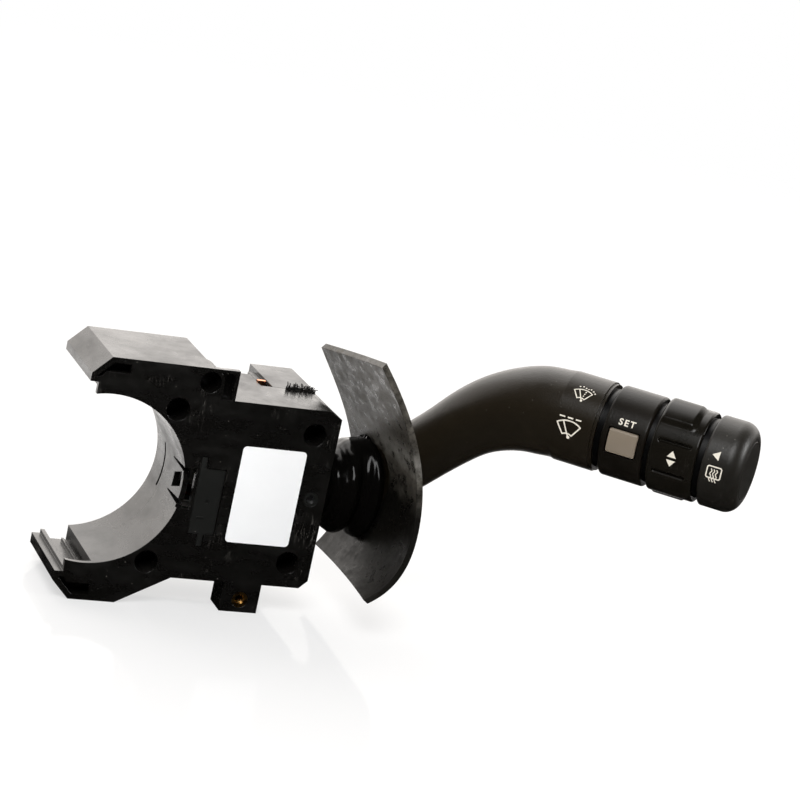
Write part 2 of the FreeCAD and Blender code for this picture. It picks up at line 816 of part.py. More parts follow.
def contact_slider():
    block = box(slider_left, slider_right, slider_front_y, slider_back_y,
                -slider_half_height, slider_half_height)
    pin_x = pivot_x - drive_arm
    half_slot = drive_pin_radius + slider_play
    fork = box(pin_x - half_slot, slider_right + wall, slider_front_y - wall, slider_back_y + wall,
               -half_slot, half_slot)
    lightening = box(slider_left + wall, pin_x - half_slot - wall, slider_front_y - wall,
                     slider_front_y + slider_thickness / 2, wall, slider_half_height - wall)
    lower = lightening.mirror(Vector(0, 0, 0), Vector(0, 0, 1))
    return block.cut(Part.makeCompound([fork, lightening, lower]))


def slider_contacts():
    """Three brass leaves that bridge the tracks, each with a raised contact bead."""
    leaves = []
    reach = board_front_y - track_thickness - wiper_gap
    for x in track_places():
        middle = x + track_width / 2
        leaf = box(middle - track_width / 4, middle + track_width / 4, slider_back_y,
                   slider_back_y + wiper_thickness, -slider_half_height + wall, slider_half_height - wall)
        beads = [rod_y(track_width / 4, middle, z, slider_back_y, reach)
                 for z in (-slider_half_height + 2 * wall, slider_half_height - 2 * wall)]
        leaves.append(fused([leaf] + beads))
    return Part.makeCompound(leaves)


# Lift cradle, detent and pull pivot

def lever_cradle():
    block = box(cradle_left, cradle_right, cradle_front_y, cradle_back_y,
                -cradle_half_height, cradle_half_height)
    room = cradle_half_height - cradle_plate
    well = box(cradle_left + cradle_web, cradle_right + wall, lever_y - cradle_half_gap,
               lever_y + cradle_half_gap, -room, room)
    cheeks = []
    for y0 in (cradle_front_y, lever_y + cradle_half_gap):
        cheeks.append(box(cradle_left, pivot_x, y0, y0 + cradle_cheek, -pivot_eye_radius, pivot_eye_radius))
        cheeks.append(rod_y(pivot_eye_radius, pivot_x, 0, y0, y0 + cradle_cheek))
    tail = box(tail_left, cradle_left + fit, tail_front_y, tail_back_y, -tail_half_height, tail_half_height)
    drive_pin = rod_y(drive_pin_radius, pivot_x - drive_arm, 0, tail_back_y - fit,
                      slider_back_y - drive_pin_short)
    cradle = fused([block.cut(well)] + cheeks + [tail, drive_pin])
    plunger_bore = rod(plunger_radius + fit, Vector(tail_left - wall, lever_y, 0),
                       Vector(cradle_left + cradle_web - wall / 2, lever_y, 0))
    pin_bores = [rod_y(lift_pin_radius, pivot_x, 0, front_y, back_y),
                 rod(pull_pin_radius, Vector(pull_x, lever_y, -beyond), Vector(pull_x, lever_y, beyond))]
    return cradle.cut(Part.makeCompound([plunger_bore] + pin_bores))


def lift_pins():
    front = rod_y(lift_pin_radius, pivot_x, 0, front_y + wall / 2, lever_y - cradle_half_gap)
    rear = rod_y(lift_pin_radius, pivot_x, 0, lever_y + cradle_half_gap, back_y - wall / 2)
    return Part.makeCompound([front, rear])


def pull_pin():
    return rod(pull_pin_radius, Vector(pull_x, lever_y, -cradle_half_height),
               Vector(pull_x, lever_y, cradle_half_height))


def pull_return_spring():
    room = cradle_half_height - cradle_plate - root_top
    wire = spring_wire
    pitch = (room - 4 * wire) / return_turns
    spring = coil(pull_pin_radius + 3 * wire, wire, pitch, return_turns)
    return placed(spring, Vector(pull_x, lever_y, root_top + 2 * wire), Rotation())


def detent_plunger():
    """A round-nosed pin along -X in the tail."""
    tip_x = pivot_x - plunger_reach
    nose = Part.makeSphere(plunger_radius, Vector(tip_x + plunger_radius, lever_y, 0))
    body = rod(plunger_radius, Vector(tip_x + plunger_radius, lever_y, 0),
               Vector(tip_x + plunger_length, lever_y, 0))
    return nose.fuse(body).removeSplitter()


def detent_spring():
    start = pivot_x - plunger_reach + plunger_length + spring_wire
    end = cradle_left + cradle_web - wall / 2 - spring_wire
    pitch = (end - start) / detent_turns
    spring = coil(plunger_radius - 2 * spring_wire, spring_wire, pitch, detent_turns)
    return placed(spring, Vector(start, lever_y, 0), Rotation(Vector(0, 1, 0), 90))


def detent_track():
    """A block on the front wall with a hollow track and one notch for each lever position."""
    block = box(detent_left, detent_right, inner_front_y, tail_back_y + slider_lift / 2,
                -detent_half_height, detent_half_height)
    crest = plunger_reach + detent_clear
    path = rod_y(crest, pivot_x, 0, front_y, back_y)
    notches = []
    for step in (-2, -1, 0, 1):
        turn = math.radians(step * detent_step_deg)
        reach = crest + detent_notch - plunger_radius
        notches.append(rod_y(plunger_radius, pivot_x - reach * math.cos(turn),
                             reach * math.sin(turn), front_y, back_y))
    return block.cut(Part.makeCompound([path] + notches))


# Lever core, boot, shroud and stalk

def rounded_route(points, radii):
    """A wire of straight runs through the points with an arc of the given radius at each turn."""
    edges = []
    start = points[0]
    for index, radius in enumerate(radii):
        corner = points[index + 1]
        arriving = corner.sub(points[index]).normalize()
        leaving = points[index + 2].sub(corner).normalize()
        turn = math.acos(max(-1.0, min(1.0, arriving.dot(leaving))))
        run = radius * math.tan(turn / 2)
        arc_start = corner.sub(arriving * run)
        arc_end = corner.add(leaving * run)
        inward = leaving.sub(arriving).normalize()
        bulge = radius / math.cos(turn / 2) - radius
        middle = corner.add(inward * bulge)
        edges.append(Part.LineSegment(start, arc_start).toShape())
        edges.append(Part.Arc(arc_start, middle, arc_end).toShape())
        start = arc_end
    edges.append(Part.LineSegment(start, points[-1]).toShape())
    return Part.Wire(edges)


def station(route, distance):
    """The point and the unit tangent at a distance along a route."""
    for edge in route.Edges:
        if distance <= edge.Length or edge.isSame(route.Edges[-1]):
            parameter = edge.getParameterByLength(max(0.0, min(distance, edge.Length)))
            return edge.valueAt(parameter), edge.tangentAt(parameter)
        distance -= edge.Length


def knob_direction():
    return Vector(math.cos(knob_azimuth), math.sin(knob_azimuth), 0)


def on_axis(u):
    """The point on the knob's axis at a distance from the middle of the button band."""
    return knob_centre.add(knob_direction() * u)


def lever_route(start_x, end_u):
    points = [Vector(start_x, lever_y, 0), neck_bend, grip_bend, on_axis(end_u)]
    return rounded_route(points, [neck_bend_radius, grip_bend_radius])


def ring_at(point, tangent, radius):
    """A circle across the lever, with its seam kept on the driver's side."""
    side = Vector(math.sin(knob_azimuth), -math.cos(knob_azimuth), 0)
    circle = Part.makeCircle(radius)
    return Part.Wire(placed(circle, point, Rotation(side, tangent.cross(side), tangent, "ZXY")))


def tube_along(route, radius):
    start, tangent = station(route, 0.0)
    return route.makePipeShell([ring_at(start, tangent, radius)], True, False)


def part_route(start_x, past_bend):
    """The lever's route from a point in the neck to a distance past the neck bend's corner."""
    direction = grip_bend.sub(neck_bend).normalize()
    points = [Vector(start_x, lever_y, 0), neck_bend, neck_bend.add(direction * past_bend)]
    return rounded_route(points, [neck_bend_radius])


def lever_core():
    root = box(root_left, root_right, lever_y - root_half_width, lever_y + root_half_width,
               root_bottom, root_top)
    tube = tube_along(part_route(root_right - wall, core_overlap), core_radius)
    bore = tube_along(part_route(root_right, core_overlap + wall), core_bore)
    pin_bore = rod(pull_pin_radius + turning_fit, Vector(pull_x, lever_y, -beyond),
                   Vector(pull_x, lever_y, beyond))
    return root.fuse(tube).removeSplitter().cut(bore).cut(pin_bore)


def blend_step(value):
    value = max(0.0, min(1.0, value))
    return value * value * (3 - 2 * value)


def grip_loft(inset, start, end, route, neck_length):
    """Loft round sections along the route. Distances count from the neck bend's corner."""
    arc_end = grip_bend.sub(neck_bend).Length + grip_bend_radius * math.tan(bend_angle() / 2)
    sections = []
    for index in range(loft_sections + 1):
        along = start + (end - start) * index / loft_sections
        point, tangent = station(route, neck_length + along)
        share = blend_step((along - grip_taper_start) / (arc_end - grip_taper_start))
        radius = grip_root_radius + (knob_radius - grip_root_radius) * share - inset
        sections.append(ring_at(point, tangent, radius))
    return Part.makeLoft(sections, True, False)


def bend_angle():
    arriving = grip_bend.sub(neck_bend).normalize()
    return math.acos(arriving.dot(knob_direction()))


def straight_start():
    """Distance along the knob's axis where the grip bend has ended."""
    run = grip_bend_radius * math.tan(bend_angle() / 2)
    return run - knob_centre.sub(grip_bend).Length


def grip_frame():
    """The lever's route and the distances along it that the grip's sections use."""
    start_x = neck_bend.x - 2 * neck_bend_radius
    route = lever_route(start_x, grip_end)
    turn = math.acos(grip_bend.sub(neck_bend).normalize().x)
    arc_run = neck_bend_radius * math.tan(turn / 2)
    neck_length = neck_bend.x - start_x - 2 * arc_run + neck_bend_radius * turn
    arc_length = grip_bend_radius * bend_angle()
    bend_run = grip_bend_radius * math.tan(bend_angle() / 2)
    bend_end = grip_bend.sub(neck_bend).Length - bend_run + arc_length
    return route, neck_length, bend_end


def grip_outer(spare):
    route, neck_length, bend_end = grip_frame()
    start = -neck_bend_radius / 2
    return grip_loft(-spare, start, bend_end, route, neck_length)


def shroud_profile(share, inset):
    """Points down the blade's face at a share of the way from its front edge to its back edge."""
    y = shroud_front_y + share * (shroud_back_y - shroud_front_y)
    centre = Vector(body_right - shroud_centre_inset, y, shroud_centre_z)
    points = []
    for front, back in zip(shroud_front, shroud_back):
        swell = 4 * shroud_swell * share * (1 - share)
        face = Vector(body_right + front[0] + share * (back[0] - front[0]) + swell, y,
                      front[1] + share * (back[1] - front[1]))
        ray = face.sub(centre)
        points.append(centre.add(ray * (1 - inset / ray.Length)))
    return points, centre


def spline(points):
    curve = Part.BSplineCurve()
    curve.interpolate(points)
    return curve.toShape()


def shroud_room(inset):
    """The solid on the housing's side of the blade's face."""
    sections = []
    for share in (0.0, 0.5, 1.0):
        points, centre = shroud_profile(share, inset)
        sides = Part.makePolygon([points[-1], centre, points[0]]).Edges
        sections.append(Part.Wire([spline(points)] + sides))
    return Part.makeLoft(sections, True, False)


def stalk_grip():
    route, neck_length, bend_end = grip_frame()
    outer = grip_outer(0.0).cut(shroud_room(shroud_thickness))
    straight = rod(knob_radius, on_axis(straight_start()), on_axis(grip_end))
    hollow = grip_loft(grip_wall, grip_hollow_start, bend_end, route, neck_length)
    socket = rod(spindle_radius + fit, on_axis(straight_start()), on_axis(grip_end + wall))
    core_hole = tube_along(part_route(root_right, core_overlap + 2 * wall), core_radius + fit)
    rim = rod(knob_radius + wall, on_axis(grip_end - grip_rim), on_axis(grip_end + wall))
    rim = rim.cut(rod(knob_radius - grip_rim / 2, on_axis(grip_end - 2 * grip_rim),
                      on_axis(grip_end + wall)))
    return outer.fuse(straight).cut(hollow).cut(socket).cut(core_hole).cut(rim).removeSplitter()


def shroud():
    """The curved blade, which flares out towards the driver."""
    sections = []
    for share in (0.0, 0.5, 1.0):
        outer = shroud_profile(share, 0.0)[0]
        inner = shroud_profile(share, shroud_thickness)[0]
        sections.append(Part.Wire([spline(outer),
                                   Part.LineSegment(outer[-1], inner[-1]).toShape(),
                                   spline(inner[::-1]),
                                   Part.LineSegment(inner[0], outer[0]).toShape()]))
    return Part.makeLoft(sections, True, False).cut(grip_outer(fit))


def boot_solid(inset):
    """The boot's folds turned round the lever's neck."""
    points = [Vector(body_right + distance, lever_y, radius - inset) for distance, radius in boot_folds]
    ends = [Vector(point.x, lever_y, 0) for point in (points[-1], points[0])]
    face = Part.Face(Part.makePolygon(points + ends + points[:1]))
    return face.revolve(Vector(0, lever_y, 0), Vector(1, 0, 0), 360)


def dust_boot():
    outer = boot_solid(0.0)
    inner = boot_solid(boot_skin)
    lever_hole = tube_along(part_route(body_right - wall, 2 * neck_bend_radius), core_radius + gap)
    mouth = rod(boot_folds[0][1] - boot_skin, Vector(body_right - wall, lever_y, 0),
                Vector(body_right + boot_folds[1][0] / 2, lever_y, 0))
    room = shroud_room(shroud_thickness + boot_shroud_gap)
    return outer.cut(inner).cut(lever_hole).cut(mouth).common(room)


def stalk_loom():
    return tube_along(lever_route(root_right + 2 * wall, knob_board_start - gap), loom_radius)


# Knob pieces are made along +X with the driver's side towards -Y, then set on the knob's axis.

def on_knob(shape):
    return placed(shape, knob_centre, Rotation(Vector(0, 0, 1), math.degrees(knob_azimuth)))


def turned(points):
    """Turn an outline of (distance, radius) points round the knob's axis."""
    corners = [Vector(u, radius, 0) for u, radius in points]
    face = Part.Face(Part.makePolygon(corners + corners[:1]))
    return face.revolve(Vector(0, 0, 0), Vector(1, 0, 0), 360)


def ring_solid(outer, inner, start, end):
    return turned([(start, inner), (end, inner), (end, outer), (start, outer)])


def soften(shape, radius, amount):
    """Round the circular edges of the given radius."""
    edges = [edge for edge in shape.Edges
             if hasattr(edge.Curve, "Radius") and abs(edge.Curve.Radius - radius) < fit / 2]
    return shape.makeFillet(amount, edges)


def knob_box(u0, u1, out0, out1, half_height):
    """A box that faces the driver; out0 and out1 are distances from the axis."""
    return box(u0, u1, -out1, -out0, -half_height, half_height)


def button_window():
    return knob_box(-button_half_length - button_gap, button_half_length + button_gap,
                    knob_board_offset + knob_board_thickness + tact_height, knob_radius + wall,
                    button_half_height + button_gap)


def spindle_tube():
    tube = ring_solid(spindle_radius, spindle_radius - spindle_wall, spindle_start, spindle_end)
    ball_hole = rod(ball_radius + fit, Vector(ring_middle(), 0, 0), Vector(ring_middle(), knob_radius, 0))
    return on_knob(tube.cut(button_window()).cut(ball_hole))


def button_band():
    band = ring_solid(knob_radius, spindle_radius + fit, -band_half, band_half)
    return on_knob(soften(band, knob_radius, edge_round).cut(button_window()))


def set_button():
    """A square cap, rounded to the band's curve, on a stem that reaches the switch below it."""
    face = knob_radius + button_proud
    cap = knob_box(-button_half_length, button_half_length, face - button_thickness, face + wall,
                   button_half_height)
    crown = Part.makeCylinder(face, 2 * button_half_length, Vector(-button_half_length, 0, 0),
                              Vector(1, 0, 0))
    cap = cap.common(crown)
    stem = knob_box(-button_stem / 2, button_stem / 2,
                    knob_board_offset + knob_board_thickness + tact_height + button_travel + gap,
                    face - button_thickness + fit, button_stem / 2)
    return on_knob(cap.fuse(stem).removeSplitter())


def button_board():
    board = knob_box(knob_board_start, knob_board_end, knob_board_offset,
                     knob_board_offset + knob_board_thickness, knob_board_half_width)
    return on_knob(board)


def tact_switches():
    """One switch under the square button and one at the board's end, facing the end button."""
    outer = knob_board_offset + knob_board_thickness
    side_switch = knob_box(-tact_half, tact_half, outer, outer + tact_height, tact_half)
    end_switch = box(knob_board_end, knob_board_end + tact_height, -outer, 2 * tact_half - outer,
                     -tact_half, tact_half)
    return on_knob(Part.makeCompound([side_switch, end_switch]))


def loom_plug():
    plug = box(knob_board_start, knob_board_start + plug_length, -knob_board_offset,
               plug_half, -plug_half, plug_half)
    return on_knob(plug)


def ring_middle():
    return (ring_start + ring_end) / 2


def turned_up(shape, degrees):
    """Turn a knob shape about the knob's axis, from the driver's side upwards."""
    return placed(shape, Vector(0, 0, 0), Rotation(Vector(-1, 0, 0), degrees))


def wedge_on_knob(centre_deg, half_deg, start, end, inner, outer):
    """A curved pad on the knob, centred at an angle above the driver's side."""
    corners = [Vector(start, -inner, 0), Vector(end, -inner, 0),
               Vector(end, -outer, 0), Vector(start, -outer, 0)]
    face = Part.Face(Part.makePolygon(corners + corners[:1]))
    pad = face.revolve(Vector(0, 0, 0), Vector(-1, 0, 0), 2 * half_deg)
    return turned_up(pad, centre_deg - half_deg)


def rotary_ring():
    ring = ring_solid(knob_radius, spindle_radius + ring_play, ring_start, ring_end)
    ring = soften(ring, knob_radius, edge_round)
    lugs = [wedge_on_knob(ring_lug_centre_deg + turn, ring_lug_half_deg, ring_lug_start, ring_lug_end,
                          knob_radius - edge_round, knob_radius + ring_lug_height) for turn in (0, 180)]
    ring = fused([ring] + lugs)
    cuts = []
    for degrees in ring_groove_deg:
        groove = knob_box(ring_groove_start, ring_groove_end, knob_radius - ring_groove_depth,
                          knob_radius + wall, ring_groove_width / 2)
        cuts.append(turned_up(groove, degrees))
    track_radius = spindle_radius + ball_rise + ball_clear
    half_track = ring_travel_deg + math.degrees(ball_radius / spindle_radius)
    cuts.append(wedge_on_knob(180, half_track + detent_notch, ring_middle() - ball_radius - gap,
                              ring_middle() + ball_radius + gap, spindle_radius - wall, track_radius))
    for degrees in (-ring_travel_deg, 0, ring_travel_deg):
        notch = Part.makeSphere(ball_radius, Vector(0, track_radius + detent_notch / 2 - ball_radius, 0))
        notch.translate(Vector(ring_middle(), 0, 0))
        cuts.append(turned_up(notch, degrees))
    return on_knob(ring.cut(Part.makeCompound(cuts)))


def ring_detent_ball():
    return on_knob(Part.makeSphere(ball_radius,
                                   Vector(ring_middle(), spindle_radius + ball_rise - ball_radius, 0)))


def ring_detent_spring():
    """A leaf across the inside of the spindle that pushes the ball outwards."""
    inner = spindle_radius - spindle_wall
    lift = spindle_radius + ball_rise - 2 * ball_radius
    leaf = box(ring_middle() - ball_radius, ring_middle() + ball_radius,
               lift - 2 * spring_wire, lift, -plug_half * 2, plug_half * 2)
    inside = Part.makeCylinder(inner - fit, spindle_end, Vector(0, 0, 0), Vector(1, 0, 0))
    return on_knob(leaf.common(inside))


def end_cap():
    recess = end_disc_radius + end_disc_gap
    cap = turned([(cap_start, spindle_radius + fit), (cap_web_start, spindle_radius + fit),
                  (cap_web_start, end_stem_radius + gap), (cap_web_start + cap_web, end_stem_radius + gap),
                  (cap_web_start + cap_web, recess), (cap_end, recess),
                  (cap_end, knob_radius), (cap_start, knob_radius)])
    rear = [edge for edge in cap.Edges if outer_edge_at(edge, cap_start)]
    cap = cap.makeFillet(edge_round, rear)
    front = [edge for edge in cap.Edges if outer_edge_at(edge, cap_end)]
    return on_knob(cap.makeFillet(cap_round, front))


def outer_edge_at(edge, u):
    if not hasattr(edge.Curve, "Radius"):
        return False
    return abs(edge.Curve.Radius - knob_radius) < fit / 2 and abs(edge.BoundBox.Center.x - u) < fit / 2


def end_button():
    disc = Part.makeCylinder(end_disc_radius, end_disc_thickness,
                             Vector(cap_end - end_disc_thickness, 0, 0), Vector(1, 0, 0))
    rim = [edge for edge in disc.Edges if abs(edge.BoundBox.Center.x - cap_end) < fit / 2
           and edge.BoundBox.XLength < fit]
    disc = disc.makeFillet(end_disc_round, rim)
    stem_start = knob_board_end + tact_height + end_travel + end_stem_gap
    stem = Part.makeCylinder(end_stem_radius, cap_end - end_disc_thickness - stem_start + fit,
                             Vector(stem_start, 0, 0), Vector(1, 0, 0))
    return on_knob(disc.fuse(stem).removeSplitter())


def end_button_spring():
    start = cap_web_start + cap_web + spring_wire + fit
    end = cap_end - end_disc_thickness - spring_wire - fit
    pitch = (end - start) / end_spring_turns
    spring = coil(end_stem_radius + 4 * spring_wire, spring_wire, pitch, end_spring_turns)
    return on_knob(placed(spring, Vector(start, 0, 0), Rotation(Vector(0, 1, 0), 90)))


pieces = {
    "front_shell": front_shell,
    "rear_cover": rear_cover,
    "cover_screws": cover_screws,
    "contact_cover": contact_cover,
    "label_plate": label_plate,
    "brass_insert": brass_insert,
    "pivot_bushes": pivot_bushes,
    "connector_shroud": connector_shroud,
    "terminal_pins": terminal_pins,
    "copper_contact": copper_contact,
    "torn_seal_strip": torn_seal_strip,
    "circuit_board": circuit_board,
    "contact_tracks": contact_tracks,
    "slider_guide": slider_guide,
    "contact_slider": contact_slider,
    "slider_contacts": slider_contacts,
    "lever_cradle": lever_cradle,
    "lift_pins": lift_pins,
    "pull_pin": pull_pin,
    "pull_return_spring": pull_return_spring,
    "detent_plunger": detent_plunger,
    "detent_spring": detent_spring,
    "detent_track": detent_track,
    "lever_core": lever_core,
    "dust_boot": dust_boot,
    "shroud": shroud,
    "stalk_grip": stalk_grip,
    "stalk_loom": stalk_loom,
    "loom_plug": loom_plug,
    "spindle_tube": spindle_tube,
    "button_board": button_board,
    "tact_switches": tact_switches,
    "button_band": button_band,
    "set_button": set_button,
    "rotary_ring": rotary_ring,
    "ring_detent_ball": ring_detent_ball,
    "ring_detent_spring": ring_detent_spring,
    "end_cap": end_cap,
    "end_button": end_button,
    "end_button_spring": end_button_spring,
}

os.makedirs("parts", exist_ok=True)
for name, make in pieces.items():
    shape = make()
    shape.exportStep("parts/" + name + ".step")
    print(name, len(shape.Solids), "solid(s)", round(shape.Volume, 2), "mm3", "valid", shape.isValid())
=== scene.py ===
import json
import math
import bmesh
import bpy
from mathutils import Matrix, Vector
from mathutils.bvhtree import BVHTree
from mathutils.noise import noise as noiseAt


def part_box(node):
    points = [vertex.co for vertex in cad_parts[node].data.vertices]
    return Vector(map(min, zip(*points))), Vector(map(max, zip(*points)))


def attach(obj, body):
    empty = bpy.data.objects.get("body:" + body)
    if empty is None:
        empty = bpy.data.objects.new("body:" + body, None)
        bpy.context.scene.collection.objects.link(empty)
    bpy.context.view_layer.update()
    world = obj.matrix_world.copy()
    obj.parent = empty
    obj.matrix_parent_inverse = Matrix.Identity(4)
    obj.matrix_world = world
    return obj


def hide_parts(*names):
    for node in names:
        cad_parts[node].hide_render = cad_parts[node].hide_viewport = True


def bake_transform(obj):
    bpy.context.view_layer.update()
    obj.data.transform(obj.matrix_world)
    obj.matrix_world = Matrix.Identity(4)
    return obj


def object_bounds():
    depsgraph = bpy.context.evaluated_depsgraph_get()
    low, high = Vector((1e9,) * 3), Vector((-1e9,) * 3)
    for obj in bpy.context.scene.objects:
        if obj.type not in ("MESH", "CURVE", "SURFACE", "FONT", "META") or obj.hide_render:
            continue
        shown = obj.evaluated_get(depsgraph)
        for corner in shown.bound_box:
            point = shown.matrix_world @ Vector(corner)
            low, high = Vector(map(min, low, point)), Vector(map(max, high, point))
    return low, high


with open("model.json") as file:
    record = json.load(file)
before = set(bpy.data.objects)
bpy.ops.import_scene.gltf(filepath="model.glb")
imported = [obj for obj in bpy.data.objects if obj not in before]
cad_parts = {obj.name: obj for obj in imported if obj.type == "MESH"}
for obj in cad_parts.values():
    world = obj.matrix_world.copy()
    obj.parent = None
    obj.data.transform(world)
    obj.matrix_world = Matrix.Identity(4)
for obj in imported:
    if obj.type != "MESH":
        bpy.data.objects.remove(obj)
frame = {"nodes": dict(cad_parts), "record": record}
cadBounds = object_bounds()
record = frame["record"]
mm = 0.001
up = Vector((0, 0, 1))


# the knob's own axes, read from the frame: along it, towards the driver, and up

def jointNamed(name):
    for joint in record["behaviour"]["joints"]:
        if joint["name"] == name:
            return joint


knobMiddle = Vector(jointNamed("ring_turn")["pos_m"])
knobAxis = Vector(jointNamed("ring_turn")["axis"]).normalized()
knobSide = knobAxis.cross(up).normalized()
housingRight = 68.0 * mm


def bodyOf(node):
    for body, members in record["behaviour"]["bodies"].items():
        if node in members:
            return body


def addObject(name, data):
    made = bpy.data.objects.new(name, data)
    bpy.context.scene.collection.objects.link(made)
    return made


def plainMesh(holder):
    # the mesh as the object's modifiers leave it; the object itself goes
    graph = bpy.context.evaluated_depsgraph_get()
    mesh = bpy.data.meshes.new_from_object(holder.evaluated_get(graph), depsgraph=graph)
    bpy.data.objects.remove(holder)
    return mesh


def closedMesh(work, mesh):
    # the finished work as a mesh, with its faces turned outwards
    bmesh.ops.recalc_face_normals(work, faces=work.faces)
    work.to_mesh(mesh)
    work.free()
    return mesh


# materials

def startMaterial(name):
    material = bpy.data.materials.new(name)
    material.use_nodes = True
    tree = material.node_tree
    shader = tree.nodes["Principled BSDF"]
    return material, tree, shader


def objectPoints(tree, stretch=(1, 1, 1), turn=(0, 0, 0)):
    places = tree.nodes.new("ShaderNodeTexCoord")
    mapping = tree.nodes.new("ShaderNodeMapping")
    mapping.inputs["Scale"].default_value = stretch
    mapping.inputs["Rotation"].default_value = turn
    tree.links.new(places.outputs["Object"], mapping.inputs["Vector"])
    return mapping.outputs["Vector"]


def calc(tree, operation, first, second=0.0):
    node = tree.nodes.new("ShaderNodeMath")
    node.operation = operation
    for socket, value in ((node.inputs[0], first), (node.inputs[1], second)):
        if isinstance(value, (int, float)):
            socket.default_value = value
        else:
            tree.links.new(value, socket)
    return node.outputs[0]


def noise(tree, points, scale, detail=3.0, rough=0.5):
    node = tree.nodes.new("ShaderNodeTexNoise")
    node.inputs["Scale"].default_value = scale
    node.inputs["Detail"].default_value = detail
    node.inputs["Roughness"].default_value = rough
    tree.links.new(points, node.inputs["Vector"])
    return node.outputs["Fac"]


def spread(tree, value, low, high, outLow=0, outHigh=1):
    node = tree.nodes.new("ShaderNodeMapRange")
    node.inputs["From Min"].default_value = low
    node.inputs["From Max"].default_value = high
    node.inputs["To Min"].default_value = outLow
    node.inputs["To Max"].default_value = outHigh
    tree.links.new(value, node.inputs["Value"])
    return node.outputs["Result"]


def axesOf(tree, vector):
    split = tree.nodes.new("ShaderNodeSeparateXYZ")
    tree.links.new(vector, split.inputs[0])
    return split.outputs


def blendColours(tree, share, first, second):
    node = tree.nodes.new("ShaderNodeMix")
    node.data_type = "RGBA"
    tree.links.new(share, node.inputs["Factor"])
    for socket, colour in ((node.inputs[6], first), (node.inputs[7], second)):
        if isinstance(colour, tuple):
            socket.default_value = (*colour, 1)
        else:
            tree.links.new(colour, socket)
    return node.outputs[2]


def raised(tree, shader, height, strength, distance, edge=0.0):
    bump = tree.nodes.new("ShaderNodeBump")
    bump.inputs["Strength"].default_value = strength
    bump.inputs["Distance"].default_value = distance
    tree.links.new(height, bump.inputs["Height"])
    if edge:
        soft = tree.nodes.new("ShaderNodeBevel")
        soft.samples = 6
        soft.inputs["Radius"].default_value = edge
        tree.links.new(soft.outputs["Normal"], bump.inputs["Normal"])
    tree.links.new(bump.outputs["Normal"], shader.inputs["Normal"])


# what the plastics share: flow streaks, moulded grain, specks of dust and fine scratches
surface = {"flowTurn": (0.3, 0.5, 0.2), "flowDetail": 8.0, "flowRough": 0.68, "wornFrom": 0.5, "wornTo": 0.8,
           "roughFrom": 0.3, "roughTo": 0.7, "grainDetail": 2.0, "grainDepth": 0.06 * mm,
           "dustScale": 640, "dustSize": 0.13, "dustSolid": 0.55, "dustFrom": 0.80, "dustTo": 0.98,
           "dustGrey": (0.33, 0.31, 0.28),
           "scratchStretch": (26, 26, 3.2), "scratchTurn": (0.9, 0.35, 0.5), "scratchScale": 34,
           "scratchWidth": 0.012, "scratchPatch": 70, "patchFrom": 0.56, "patchTo": 0.68,
           "scuffGrey": (0.16, 0.15, 0.135)}


def specks(tree, points):
    # small round specks, one in some of the cells
    cells = tree.nodes.new("ShaderNodeTexVoronoi")
    cells.inputs["Scale"].default_value = surface["dustScale"]
    tree.links.new(points, cells.inputs["Vector"])
    dots = spread(tree, cells.outputs["Distance"], surface["dustSize"],
                  surface["dustSize"] * surface["dustSolid"], 0, 1)
    split = tree.nodes.new("ShaderNodeSeparateColor")
    tree.links.new(cells.outputs["Color"], split.inputs["Color"])
    return calc(tree, "MULTIPLY", dots,
                spread(tree, split.outputs["Red"], surface["dustFrom"], surface["dustTo"]))


# each plastic's own values, over the usual ones
usualPlastic = {"grain": 2000, "flow": (30, 30, 30), "dust": 0.0, "scratch": 0.0, "edge": 0.0}
plasticLooks = {
    "housingBlack": {"colour": (0.0034, 0.0031, 0.0027), "worn": (0.0085, 0.0078, 0.0068),
                     "rough": (0.14, 0.46), "specular": 0.46, "grain": 2600, "bump": 0.20,
                     "flow": (60, 60, 150), "dust": 0.35, "scratch": 0.55, "edge": 0.25 * mm},
    "coverBlack": {"colour": (0.0062, 0.0066, 0.0057), "worn": (0.012, 0.0125, 0.011),
                   "rough": (0.45, 0.6), "specular": 0.4, "grain": 3200, "bump": 0.2,
                   "flow": (40, 40, 40), "dust": 0.5, "edge": 0.15 * mm},
    "gripBlack": {"colour": (0.0105, 0.0078, 0.0044), "worn": (0.021, 0.0160, 0.0092),
                  "rough": (0.28, 0.36), "specular": 0.23, "bump": 0.75, "dust": 0.16, "edge": 0.2 * mm},
    "bandBlack": {"colour": (0.0052, 0.0041, 0.0027), "worn": (0.011, 0.0088, 0.0060),
                  "rough": (0.28, 0.36), "specular": 0.15, "bump": 0.7, "dust": 0.22, "edge": 0.25 * mm},
    "capBlack": {"colour": (0.0090, 0.0078, 0.0058), "worn": (0.016, 0.0142, 0.0110),
                 "rough": (0.34, 0.44), "specular": 0.30, "bump": 0.8, "dust": 0.30, "edge": 0.25 * mm},
    # the spindle's black is darker than the others: partly painted shade for the narrow gaps where it shows
    # between the knob's parts
    "spindleShadeBlack": {"colour": (0.0016, 0.0016, 0.0016), "worn": (0.0026, 0.0026, 0.0025),
                     "rough": (0.28, 0.38), "specular": 0.16, "bump": 0.1},
    "ringBlack": {"colour": (0.0050, 0.0043, 0.0030), "worn": (0.0085, 0.0072, 0.0052),
                  "rough": (0.16, 0.26), "specular": 0.16, "grain": 1800, "bump": 0.06,
                  "dust": 0.14, "scratch": 0.15},
    "buttonTaupe": {"colour": (0.176, 0.144, 0.107), "worn": (0.205, 0.170, 0.127),
                    "rough": (0.32, 0.42), "specular": 0.5, "grain": 2300, "bump": 0.3},
    "innerWhite": {"colour": (0.62, 0.60, 0.55), "worn": (0.55, 0.53, 0.48),
                   "rough": (0.4, 0.5), "specular": 0.5, "grain": 1500, "bump": 0.05, "edge": 0.2 * mm},
}


